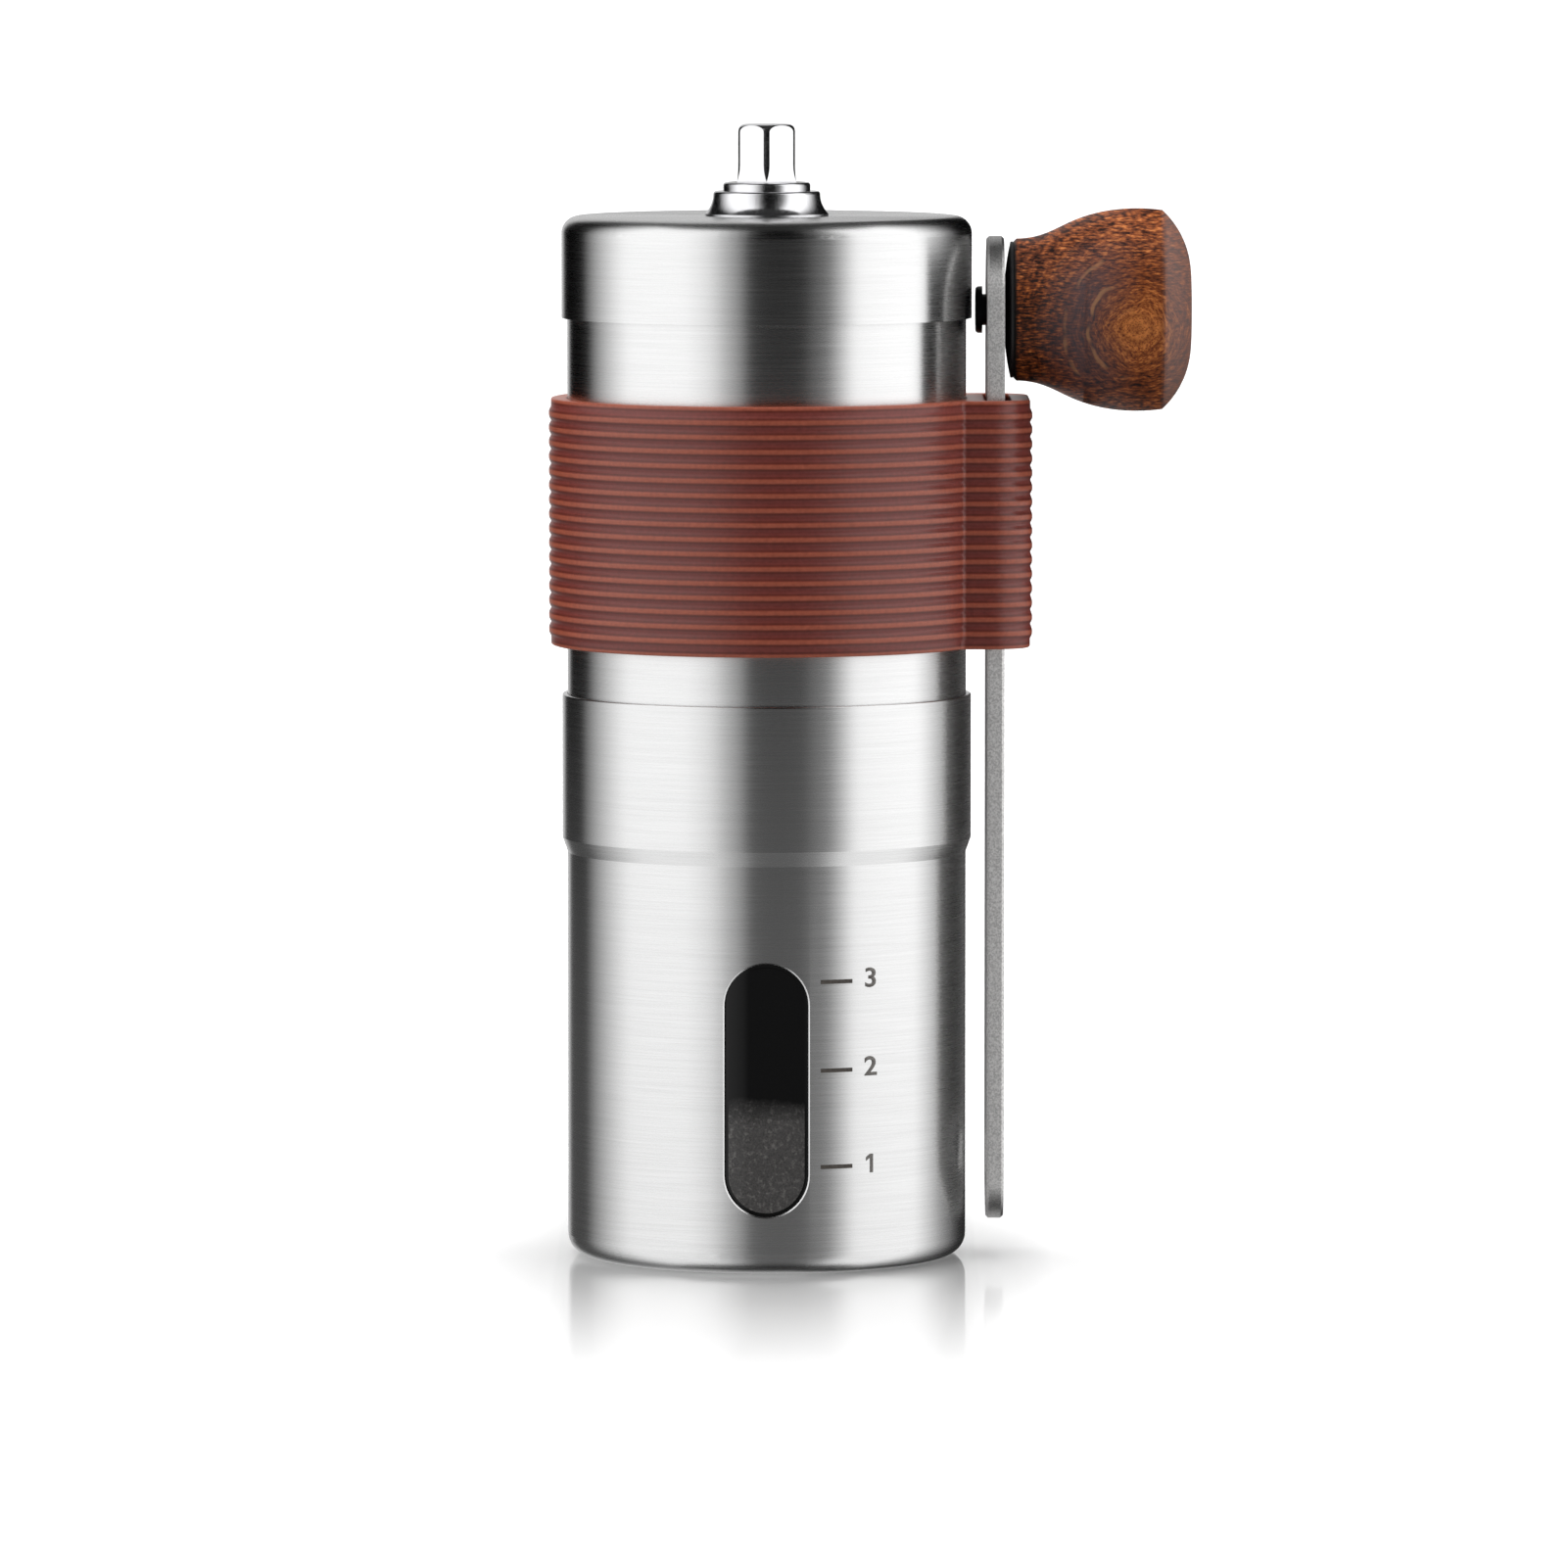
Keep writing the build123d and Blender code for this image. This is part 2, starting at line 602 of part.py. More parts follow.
def lid_shell():
    """The drawn steel lid with its rounded shoulder and the hole for the shaft's bush."""
    lid = rounded_disc(lid_r, LID_CORNER, lid_z0, lid_z1, upper=True)
    lid -= rounded_disc(lid_bore_r, lid_bore_corner, lid_z0, lid_ceiling_z, upper=True)
    return lid - disc(lid_hole_r, lid_ceiling_z, lid_z1)


def lid_collar():
    """The polished collar on the lid: a flared foot with a lip, a rounded step and a small upper ring."""
    step_z = lid_z1 + COLLAR_STEP_Z
    crest = (collar_top_r, collar_z1 - COLLAR_EDGE)
    top = (collar_top_r - COLLAR_EDGE, collar_z1)
    waist = (collar_waist_r, step_z - COLLAR_EDGE)
    ledge = (collar_waist_r - COLLAR_EDGE, step_z)
    lip = (collar_foot_r, lid_z1 + COLLAR_LIP)
    inner = Polyline(top, (lid_hole_r, collar_z1), (lid_hole_r, lid_z1), (collar_foot_r, lid_z1), lip)
    outer = TangentArc(waist, lip, tangent=(0, -1)) + TangentArc(waist, ledge, tangent=(0, 1))
    outer += Polyline(ledge, (collar_top_r, step_z), crest) + TangentArc(crest, top, tangent=(0, 1))
    return revolve(Plane.XZ * make_face(inner + outer), Axis.Z)


def lid_bush():
    """The plastic bush that guides the shaft: a flange under the lid and a sleeve up through the collar."""
    flange_z0 = lid_ceiling_z - LID_BUSH_FLANGE_WALL
    return ring(LID_BUSH_FLANGE_R, lid_bush_bore_r, flange_z0, lid_ceiling_z) + ring(
        lid_bush_r, lid_bush_bore_r, lid_ceiling_z, collar_z1 - COLLAR_EDGE
    )


# Crank


def on_pin_axis(piece, x):
    """Lays a piece that was made along Z onto the knob's axis, with its foot at x."""
    return Pos(x, 0, arm_high_z) * Rot(0, 90, 0) * piece


def crank_arm():
    """The flat steel bar with round ends: a five sided socket low down and the knob's pin hole on top."""
    bar = Plane.YZ * SlotCenterToCenter(arm_span, ARM_WIDTH, rotation=90)
    bar = Pos(arm_x0, 0, (arm_low_z + arm_high_z) / 2) * extrude(bar, ARM_THICKNESS)
    bar = chamfer(bar.faces().sort_by(Axis.X)[0].edges() + bar.faces().sort_by(Axis.X)[-1].edges(), ARM_EDGE)
    socket = RegularPolygon(drive_apothem + DRIVE_FIT, DRIVE_SIDES, major_radius=False, rotation=180)
    bar -= Pos(arm_x0, 0, arm_low_z) * Rot(0, 90, 0) * extrude(socket, ARM_THICKNESS)
    return bar - on_pin_axis(disc(PIN_R + RUNNING_FIT, 0, ARM_THICKNESS), arm_x0)


def wood_knob():
    """The turned wooden knob: a neck that swells to a belly, a crease and a domed end."""
    crease_z = KNOB_LENGTH - KNOB_DOME
    neck_r = KNOB_NECK_D / 2
    belly = (KNOB_MAX_D / 2, KNOB_BELLY_X)
    crease = (KNOB_MAX_D / 2 - KNOB_CREASE_DROP, crease_z)
    flat = (KNOB_FLAT_D / 2, KNOB_LENGTH)
    bore_r = insert_r + PRESS_FIT
    bore_z = INSERT_LENGTH + PRESS_FIT
    swelling = (KNOB_SWELL_D / 2, KNOB_SWELL_X)
    swell = Spline((neck_r, KNOB_NECK_EDGE), swelling, belly, tangents=[(0, 1), (0, 1)])
    shoulder = TangentArc(belly, crease, tangent=(0, 1))
    dome = TangentArc(flat, crease, tangent=(1, 0))
    rest = Polyline(
        flat,
        (0, KNOB_LENGTH),
        (0, bore_z),
        (bore_r, bore_z),
        (bore_r, 0),
        (neck_r - KNOB_NECK_EDGE, 0),
        (neck_r, KNOB_NECK_EDGE),
    )
    knob = revolve(Plane.XZ * make_face(swell + shoulder + dome + rest), Axis.Z)
    return on_pin_axis(knob, knob_x0)


def knob_pin():
    """The headed pin that the knob turns on: it runs in the arm's hole and screws into the knob."""
    head_x = arm_x0 - PIN_PLAY - PIN_HEAD
    reach = knob_x0 + PIN_GRIP - head_x
    head = rounded_disc(PIN_HEAD_R, PIN_HEAD / 2, 0, PIN_HEAD, upper=False)
    return on_pin_axis(head + disc(PIN_R, 0, reach), head_x)


def knob_insert():
    """The threaded insert pressed into the wood."""
    return on_pin_axis(ring(insert_r, PIN_R + THREAD_FIT, 0, INSERT_LENGTH), knob_x0)


def knob_washer():
    """The domed washer between the arm and the knob, as wide as the knob's neck."""
    back = KNOB_GAP - 2 * SEAT_GAP
    bore_r = PIN_R + RUNNING_FIT
    rim_r = KNOB_NECK_D / 2 - KNOB_NECK_EDGE
    rim = (rim_r, back - KNOB_WASHER_RIM)
    dome = TangentArc((bore_r, 0), rim, tangent=(1, 0))
    rest = Polyline(rim, (rim_r, back), (bore_r, back), (bore_r, 0))
    washer = revolve(Plane.XZ * make_face(dome + rest), Axis.Z)
    return on_pin_axis(washer, arm_x1 + SEAT_GAP)


PIECES = (
    cup_shell,
    cup_window,
    hopper_tube,
    grip_sleeve,
    burr_housing,
    outer_burr,
    bearing_bridge,
    bridge_screws,
    bridge_bush,
    inner_burr,
    burr_core,
    drive_shaft,
    thrust_washer,
    shaft_clip,
    spring_washer,
    burr_spring,
    adjust_dial,
    dial_insert,
    lid_shell,
    lid_collar,
    lid_bush,
    crank_arm,
    wood_knob,
    knob_pin,
    knob_insert,
    knob_washer,
)

os.makedirs("parts", exist_ok=True)
for piece in PIECES:
    export_step(piece(), f"parts/{piece.__name__}.step")
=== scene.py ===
# %% [markdown]
# # A hand crank coffee grinder
# The grinder is a slim steel tube: coffee goes in under the lid, a crank on the five sided shaft turns
# a toothed cone, and what is ground falls into the cup with the window. In storage the crank hangs in
# the loop of a ribbed silicone sleeve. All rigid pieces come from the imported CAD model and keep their
# shape, so this notebook gives them their finishes, models what is soft, wound or printed, and
# sets up a small studio round it.

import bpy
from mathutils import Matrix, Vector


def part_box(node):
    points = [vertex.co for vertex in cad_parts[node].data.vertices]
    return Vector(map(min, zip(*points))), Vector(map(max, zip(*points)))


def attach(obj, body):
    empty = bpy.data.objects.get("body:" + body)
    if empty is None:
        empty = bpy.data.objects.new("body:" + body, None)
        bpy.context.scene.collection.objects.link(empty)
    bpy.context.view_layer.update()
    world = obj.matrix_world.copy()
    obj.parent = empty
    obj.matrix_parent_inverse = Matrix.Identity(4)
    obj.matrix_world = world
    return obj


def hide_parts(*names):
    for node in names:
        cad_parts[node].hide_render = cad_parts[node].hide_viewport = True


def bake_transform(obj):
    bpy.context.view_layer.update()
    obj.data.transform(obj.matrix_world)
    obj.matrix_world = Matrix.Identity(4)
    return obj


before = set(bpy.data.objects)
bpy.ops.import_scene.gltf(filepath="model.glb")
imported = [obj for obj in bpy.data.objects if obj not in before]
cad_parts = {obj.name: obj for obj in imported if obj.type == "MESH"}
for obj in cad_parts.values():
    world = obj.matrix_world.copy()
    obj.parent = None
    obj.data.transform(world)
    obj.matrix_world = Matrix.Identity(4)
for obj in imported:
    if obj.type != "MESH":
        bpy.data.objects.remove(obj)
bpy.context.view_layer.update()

# %% Units
import math

import bpy
from mathutils import Vector

MM = 0.001


def in_mm(vector):
    """A point as rounded millimetres, for printing."""
    return [round(value / MM, 2) for value in vector]


# %% [markdown]
# ## How a finish is written down
# Colours are noted as a designer would, as sRGB hex values, but Blender mixes light in linear values,
# so one function turns the one into the other. A second function adds a node, sets it up and links it,
# which keeps each finish short enough to read as a recipe.


# %% Colour and node helpers
def linear(hex_code):
    """The linear RGBA of an sRGB hex colour."""
    parts = [int(hex_code[i : i + 2], 16) / 255 for i in (1, 3, 5)]
    return [c / 12.92 if c <= 0.04045 else ((c + 0.055) / 1.055) ** 2.4 for c in parts] + [1.0]


def add(tree, kind, inputs=None, **settings):
    """Add a node; inputs gives each socket a value or the socket that feeds it."""
    made = tree.nodes.new(kind)
    for name, value in settings.items():
        setattr(made, name, value)
    for socket, value in (inputs or {}).items():
        if isinstance(value, bpy.types.NodeSocket):
            tree.links.new(value, made.inputs[socket])
        else:
            made.inputs[socket].default_value = value
    return made


def start_finish(name):
    """A new material with its node tree and its shader."""
    material = bpy.data.materials.new(name)
    material.use_nodes = True
    return material, material.node_tree, material.node_tree.nodes["Principled BSDF"]


print("white is", linear("#ffffff"), "and mid grey is", linear("#808080"))

# %% [markdown]
# ## Brushed stainless steel
# Cup, tube and lid are drawn from stainless sheet and brushed while they turn, so fine scratches run
# round the walls and in circles on the lid. A scratched surface spreads a reflection across the
# scratches and keeps it sharp along them. One way is an image of scratches wrapped round each piece,
# but a noise that is long round the axis and short up it needs no unwrapping: the fourth dimension
# of the noise is the distance from the axis, so the same recipe draws rings on the flat lid.

# %% Brushed stainless steel
SCRATCH_HEIGHT = 0.14 * MM  # real scratches are finer, but this is the least that shows
SCRATCH_LENGTH = 12 * MM
SCRATCH_DEPTH = 0.02 * MM

# bright and dark bands with silky edges, drawn out up and down the wall
brushed, tree, shader = start_finish("stainless_steel_brushed")
place = add(tree, "ShaderNodeTexCoord").outputs["Object"]
xyz = add(tree, "ShaderNodeSeparateXYZ", {0: place})
flat = add(tree, "ShaderNodeCombineXYZ", {0: xyz.outputs["X"], 1: xyz.outputs["Y"]})
radius = add(tree, "ShaderNodeVectorMath", {0: flat.outputs[0]}, operation="LENGTH")
rings = add(tree, "ShaderNodeMath", {0: radius.outputs["Value"], 1: 1 / SCRATCH_HEIGHT}, operation="MULTIPLY")
stretch = (1 / SCRATCH_LENGTH, 1 / SCRATCH_LENGTH, 1 / SCRATCH_HEIGHT)
streaked = add(tree, "ShaderNodeMapping", {"Vector": place, "Scale": stretch})
scratches = add(
    tree,
    "ShaderNodeTexNoise",
    {"Vector": streaked.outputs[0], "W": rings.outputs[0], "Scale": 1.0, "Detail": 4.0, "Roughness": 0.6},
    noise_dimensions="4D",
)
grain = scratches.outputs["Fac"]
tone = add(tree, "ShaderNodeValToRGB", {"Fac": grain})
tone.color_ramp.elements[0].position = 0.3
tone.color_ramp.elements[0].color = linear("#cdcdcd")
tone.color_ramp.elements[1].position = 0.7
tone.color_ramp.elements[1].color = linear("#dbdbdb")
matt = add(
    tree,
    "ShaderNodeMapRange",
    {"Value": grain, "From Min": 0.3, "From Max": 0.7, "To Min": 0.24, "To Max": 0.31},
)
groove = add(tree, "ShaderNodeBump", {"Height": grain, "Strength": 0.05, "Distance": SCRATCH_DEPTH})
around = add(tree, "ShaderNodeTangent", direction_type="RADIAL", axis="Z")
tree.links.new(tone.outputs["Color"], shader.inputs["Base Color"])
tree.links.new(matt.outputs["Result"], shader.inputs["Roughness"])
tree.links.new(groove.outputs["Normal"], shader.inputs["Normal"])
tree.links.new(around.outputs["Tangent"], shader.inputs["Tangent"])
shader.inputs["Metallic"].default_value = 1.0
shader.inputs["Anisotropic"].default_value = 0.8
shader.inputs["Anisotropic Rotation"].default_value = 0.25  # a quarter turn: across the scratches
print(brushed.name, "scratches", SCRATCH_HEIGHT / MM, "mm high")

# %% [markdown]
# ## Other metals
# The shaft's head and the collar on the lid are turned and polished, so they mirror the room. The crank
# arm is stamped from bar and tumbled with stones, which leaves an even grain and a dull grey. The
# knob's pin is blackened. Inside sit brass inserts and a spring of drawn wire. Plain metals differ only
# in colour and in how even their gloss is, so one recipe serves them, and the arm has its own.

# %% Polished steel of the shaft and the collar
def plain_metal(name, colour, mark, detail, rough, metallic=1.0):
    """A plain metal: marks of this size make its gloss uneven, between two values of roughness."""
    material, tree, shader = start_finish(name)
    place = add(tree, "ShaderNodeTexCoord").outputs["Object"]
    marks = add(tree, "ShaderNodeTexNoise", {"Vector": place, "Scale": 1 / mark, "Detail": detail})
    gloss = add(
        tree,
        "ShaderNodeMapRange",
        {"Value": marks.outputs["Fac"], "To Min": rough[0], "To Max": rough[1]},
    )
    tree.links.new(gloss.outputs["Result"], shader.inputs["Roughness"])
    shader.inputs["Base Color"].default_value = linear(colour)
    shader.inputs["Metallic"].default_value = metallic
    return material


# a mirror of the room that is a little uneven
polished = plain_metal(
    "stainless_steel_polished", "#dddddf", mark=0.5 * MM, detail=3.0, rough=(0.12, 0.28)
)
print(polished.name)

# %% Tumbled steel of the crank arm
TUMBLE_GRAIN = 0.22 * MM
DENT_DEPTH = 0.03 * MM
ACROSS_BAR = (1.0, 0.3, 0.0)  # through the bar's thickness, and a little across its width

# a dull, even grey with a fine grain
tumbled, tree, shader = start_finish("stainless_steel_tumbled")
place = add(tree, "ShaderNodeTexCoord").outputs["Object"]
pits = add(
    tree,
    "ShaderNodeTexNoise",
    {"Vector": place, "Scale": 1 / TUMBLE_GRAIN, "Detail": 3.0, "Roughness": 0.7},
).outputs["Fac"]
tone = add(tree, "ShaderNodeValToRGB", {"Fac": pits})
tone.color_ramp.elements[0].position = 0.38
tone.color_ramp.elements[0].color = linear("#c6c5c4")
tone.color_ramp.elements[1].position = 0.6
tone.color_ramp.elements[1].color = linear("#f0efee")
dents = add(tree, "ShaderNodeBump", {"Height": pits, "Strength": 0.15, "Distance": DENT_DEPTH})
across = add(
    tree,
    "ShaderNodeVectorTransform",
    {"Vector": ACROSS_BAR},
    vector_type="VECTOR",
    convert_from="OBJECT",
    convert_to="WORLD",
)
tree.links.new(tone.outputs["Color"], shader.inputs["Base Color"])
tree.links.new(dents.outputs["Normal"], shader.inputs["Normal"])
tree.links.new(across.outputs["Vector"], shader.inputs["Tangent"])
shader.inputs["Metallic"].default_value = 1.0
shader.inputs["Roughness"].default_value = 0.5
shader.inputs["Anisotropic"].default_value = 0.8  # bar is drawn lengthwise, so light spreads across it
print(tumbled.name, "grain", TUMBLE_GRAIN / MM, "mm")

# %% Blackened steel, brass and spring wire
# a soft black that only shows where an edge catches light
blackened = plain_metal(
    "steel_black_oxide", "#1b1b1e", mark=0.8 * MM, detail=2.0, rough=(0.3, 0.5), metallic=0.9
)
# a warm yellow with the sheen that a lathe leaves
brass = plain_metal("brass_turned", "#c9a45c", mark=0.4 * MM, detail=2.0, rough=(0.16, 0.32))
# a grey that is duller than the polished shaft's
wire_steel = plain_metal("spring_steel_drawn", "#a8a9ad", mark=0.3 * MM, detail=2.0, rough=(0.2, 0.38))
print(blackened.name, brass.name, wire_steel.name)

# %% [markdown]
# ## Oiled walnut
# The knob is turned from a dark hardwood and oiled. Its growth rings close into an eye on the side that
# faces the front, with a few pale arcs beside it, and short pores follow the rings. A picture of wood
# could be wrapped round the knob, but its seam would show as the knob turns. So rings are the distance
# from a line through the eye, bent by a noise. Pores are a noise that is long round the eye, thin
# across, and longest along that line, as fibres are. The neck is darkened with painted shade, its end
# face is painted near black as shade, and the crown is greyed with a painted sheen.

# %% Walnut: distance and direction from the eye
EYE_FROM_NECK = 15.3 * MM
EYE_DROP = 0.5 * MM
WARP_SIZE = 6 * MM
WARP_REACH = 2.5 * MM
knob_low, knob_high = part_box("wood_knob")
eye_x = knob_low.x + EYE_FROM_NECK
eye_z = (knob_low.z + knob_high.z) / 2 - EYE_DROP

# a warm, dark brown full of fine flecks, with hardly any gloss
walnut, tree, shader = start_finish("walnut_oiled")
place = add(tree, "ShaderNodeTexCoord").outputs["Object"]
along = add(tree, "ShaderNodeSeparateXYZ", {0: place}).outputs["X"]
centred = add(
    tree,
    "ShaderNodeMapping",
    {"Vector": place, "Location": (-eye_x, 0, -eye_z), "Scale": (1, 0, 1)},
)
warp = add(tree, "ShaderNodeTexNoise", {"Vector": place, "Scale": 1 / WARP_SIZE, "Detail": 2.0})
bent = add(
    tree,
    "ShaderNodeVectorMath",
    {0: warp.outputs["Color"], 1: (WARP_REACH, WARP_REACH, WARP_REACH), 2: centred.outputs[0]},
    operation="MULTIPLY_ADD",
).outputs["Vector"]
reach = add(tree, "ShaderNodeVectorMath", {0: bent}, operation="LENGTH").outputs["Value"]
heading = add(tree, "ShaderNodeVectorMath", {0: bent}, operation="NORMALIZE").outputs["Vector"]
print(walnut.name, "eye at x, z", in_mm((eye_x, eye_z)))

# %% Walnut: pores and flecks
PORE_LENGTH = 0.8 * MM
PORE_WIDTH = 0.21 * MM
FLECK_LENGTH = 0.85 * MM
FIBRE_LENGTH = 5 * MM
MEAN_REACH = 6 * MM  # pores are as long as given at this distance from the eye
PORE_ZONE = (9 * MM, 4 * MM)  # flecks rule beyond the first distance from the eye, pores within the second
EYE_ZONE = (6 * MM, 2 * MM)  # the wood gets warmer from the first distance to the second
NECK_SHADE_ZONE = (1 * MM, 9 * MM)  # painted shade on the neck, less and less between these distances

deep = add(tree, "ShaderNodeMapping", {"Vector": place, "Scale": (0, 1 / FIBRE_LENGTH, 0)})
turns = MEAN_REACH / PORE_LENGTH
around = add(
    tree,
    "ShaderNodeVectorMath",
    {0: heading, 1: (turns, turns, turns), 2: deep.outputs[0]},
    operation="MULTIPLY_ADD",
).outputs["Vector"]
outward = add(tree, "ShaderNodeMath", {0: reach, 1: 1 / PORE_WIDTH}, operation="MULTIPLY").outputs[0]
pores = add(
    tree,
    "ShaderNodeTexNoise",
    {"Vector": around, "W": outward, "Scale": 1.0, "Detail": 4.0, "Roughness": 0.65},
    noise_dimensions="4D",
)
short = add(
    tree,
    "ShaderNodeMapping",
    {"Vector": place, "Scale": (1 / FLECK_LENGTH, 1 / FIBRE_LENGTH, 1 / PORE_WIDTH)},
)
flecks = add(
    tree,
    "ShaderNodeTexNoise",
    {"Vector": short.outputs[0], "Scale": 1.0, "Detail": 2.0, "Roughness": 0.6},
)
close = add(
    tree,
    "ShaderNodeMapRange",
    {"Value": reach, "From Min": PORE_ZONE[0], "From Max": PORE_ZONE[1], "To Min": 0.25, "To Max": 0.9},
)
grain = add(
    tree,
    "ShaderNodeMix",
    {0: close.outputs[0], 2: flecks.outputs["Fac"], 3: pores.outputs["Fac"]},
    data_type="FLOAT",
).outputs[0]
warm = add(
    tree,
    "ShaderNodeMapRange",
    {"Value": reach, "From Min": EYE_ZONE[0], "From Max": EYE_ZONE[1], "To Max": 0.14},
)
# painted shade: the wood is darkened towards the neck, where less light reaches it
painted_neck_shade = add(
    tree,
    "ShaderNodeMapRange",
    {
        "Value": along,
        "From Min": knob_low.x + NECK_SHADE_ZONE[0],
        "From Max": knob_low.x + NECK_SHADE_ZONE[1],
        "To Min": -0.05,
        "To Max": 0.0,
    },
)
for change in (warm, painted_neck_shade):
    grain = add(tree, "ShaderNodeMath", {0: grain, 1: change.outputs[0]}, operation="ADD").outputs[0]
print("pores", PORE_LENGTH / MM, "by", PORE_WIDTH / MM, "mm, fibres", FIBRE_LENGTH / MM, "mm")

# %% Walnut: brown tones and growth rings
RING_STEP = 0.55 * MM

wood = add(tree, "ShaderNodeValToRGB", {"Fac": grain})
wood.color_ramp.elements[0].position = 0.37
wood.color_ramp.elements[0].color = linear("#27110a")
wood.color_ramp.elements[1].position = 0.67
wood.color_ramp.elements[1].color = linear("#e98f49")
wood.color_ramp.elements.new(0.46).color = linear("#6d361a")
wood.color_ramp.elements.new(0.55).color = linear("#aa5a27")
count = add(tree, "ShaderNodeMath", {0: reach, 1: 1 / RING_STEP}, operation="MULTIPLY")
ring = add(tree, "ShaderNodeMath", {0: count.outputs[0], 1: 1.0}, operation="PINGPONG")
rings = add(tree, "ShaderNodeValToRGB", {"Fac": ring.outputs[0]})
rings.color_ramp.elements[0].color = linear("#b9aba2")
rings.color_ramp.elements[1].color = linear("#ffffff")
ringed = add(
    tree,
    "ShaderNodeMix",
    {0: 0.8, 6: wood.outputs["Color"], 7: rings.outputs["Color"]},
    data_type="RGBA",
    blend_type="MULTIPLY",
).outputs[2]
print("rings", RING_STEP / MM, "mm apart")

# %% Walnut: grey heartwood and pale arcs
HEART_START = (2 * MM, 6 * MM)  # the heartwood fades in between these distances from the eye
HEART_END = (12 * MM, 8 * MM)  # and out between these
ARC_STEP = 1.45 * MM
ARC_PATCH = 3 * MM

side = add(tree, "ShaderNodeSeparateXYZ", {0: heading}).outputs["X"]
towards_neck = add(tree, "ShaderNodeMapRange", {"Value": side, "From Min": 0.1, "From Max": -0.8})
beyond = add(
    tree,
    "ShaderNodeMapRange",
    {"Value": reach, "From Min": HEART_START[0], "From Max": HEART_START[1]},
)
before = add(
    tree,
    "ShaderNodeMapRange",
    {"Value": reach, "From Min": HEART_END[0], "From Max": HEART_END[1], "To Max": 0.6},
)
zone = add(tree, "ShaderNodeMath", {0: beyond.outputs[0], 1: before.outputs[0]}, operation="MULTIPLY")
heart = add(tree, "ShaderNodeMath", {0: zone.outputs[0], 1: towards_neck.outputs[0]}, operation="MULTIPLY")
greyed = add(
    tree, "ShaderNodeMix", {0: heart.outputs[0], 6: ringed, 7: linear("#58525a")}, data_type="RGBA"
).outputs[2]
wide = add(tree, "ShaderNodeMath", {0: reach, 1: 1 / ARC_STEP}, operation="MULTIPLY")
band = add(tree, "ShaderNodeMath", {0: wide.outputs[0], 1: 1.0}, operation="PINGPONG")
line = add(tree, "ShaderNodeMapRange", {"Value": band.outputs[0], "From Min": 0.2, "From Max": 0.08})
patch = add(tree, "ShaderNodeTexNoise", {"Vector": place, "Scale": 1 / ARC_PATCH, "Detail": 1.0})
seen = add(
    tree,
    "ShaderNodeMapRange",
    {"Value": patch.outputs["Fac"], "From Min": 0.5, "From Max": 0.62, "To Max": 0.9},
)
left = add(tree, "ShaderNodeMath", {0: line.outputs[0], 1: heart.outputs[0]}, operation="MULTIPLY")
pale = add(tree, "ShaderNodeMath", {0: left.outputs[0], 1: seen.outputs[0]}, operation="MULTIPLY")
arched = add(
    tree, "ShaderNodeMix", {0: pale.outputs[0], 6: greyed, 7: linear("#cf9668")}, data_type="RGBA"
).outputs[2]
print("arcs", ARC_STEP / MM, "mm apart")

# %% Walnut: painted shade and sheen at the ends, gloss and open pores
NECK_END_SHADE = (0.1 * MM, 0.35 * MM)  # painted shade on the end face, from the neck's end
CROWN_EDGE = (3.7 * MM, 2.9 * MM)  # painted sheen on the crown, from the crown's end
PORE_DEPTH = 0.06 * MM

# painted shade: the neck's end face, turned towards the arm, is painted near black
neck = add(
    tree,
    "ShaderNodeMapRange",
    {
        "Value": along,
        "From Min": knob_low.x + NECK_END_SHADE[0],
        "From Max": knob_low.x + NECK_END_SHADE[1],
        "To Min": 1.0,
        "To Max": 0.0,
    },
)
end_shaded = add(
    tree, "ShaderNodeMix", {0: neck.outputs[0], 6: arched, 7: linear("#0d0a08")}, data_type="RGBA"
).outputs[2]
# painted sheen: the crown is greyed towards its end, where it faces the side light
crown_sheen = add(
    tree,
    "ShaderNodeMapRange",
    {
        "Value": along,
        "From Min": knob_high.x - CROWN_EDGE[0],
        "From Max": knob_high.x - CROWN_EDGE[1],
        "To Max": 0.5,
    },
)
ended = add(
    tree, "ShaderNodeMix", {0: crown_sheen.outputs[0], 6: end_shaded, 7: linear("#8c7874")}, data_type="RGBA"
).outputs[2]
satin = add(tree, "ShaderNodeMapRange", {"Value": grain, "To Min": 0.55, "To Max": 0.38})
open_pores = add(tree, "ShaderNodeBump", {"Height": grain, "Strength": 0.25, "Distance": PORE_DEPTH})
tree.links.new(ended, shader.inputs["Base Color"])
tree.links.new(satin.outputs[0], shader.inputs["Roughness"])
tree.links.new(open_pores.outputs["Normal"], shader.inputs["Normal"])
shader.inputs["IOR"].default_value = 1.47
shader.inputs["Specular IOR Level"].default_value = 0.25  # the oil soaks in and leaves little gloss
print("walnut nodes:", len(tree.nodes))

# %% [markdown]
# ## Plastics, ceramic and the window
# The pane behind the slot is a smoked clear plastic: it lets a little light through and mirrors the room
# like any smooth plastic, and coffee dust clings to the lower part of its inside. The dust could be
# loose specks behind the pane, but from outside it only shows as a paler tone, so it is mixed into the
# colour of the pane's front. Ceramic burrs are pressed and fired, so they are matt with a faint
# speckle. The other mouldings are plain nylon.

# %% Smoked pane with coffee dust
DUST_GRAIN = 0.22 * MM
CRUMB_GRAIN = 0.55 * MM
DRIFT_SIZE = 3 * MM
DRIFT_RISE = 2.5 * MM
DUST_EDGE = (16.8 * MM, 13.8 * MM)  # dust thickens between these heights over the pane's foot
BOSS_FACE = (0.15 * MM, 0.05 * MM)  # it is drawn on the boss's front, this close under its face
pane_low, pane_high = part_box("cup_window")

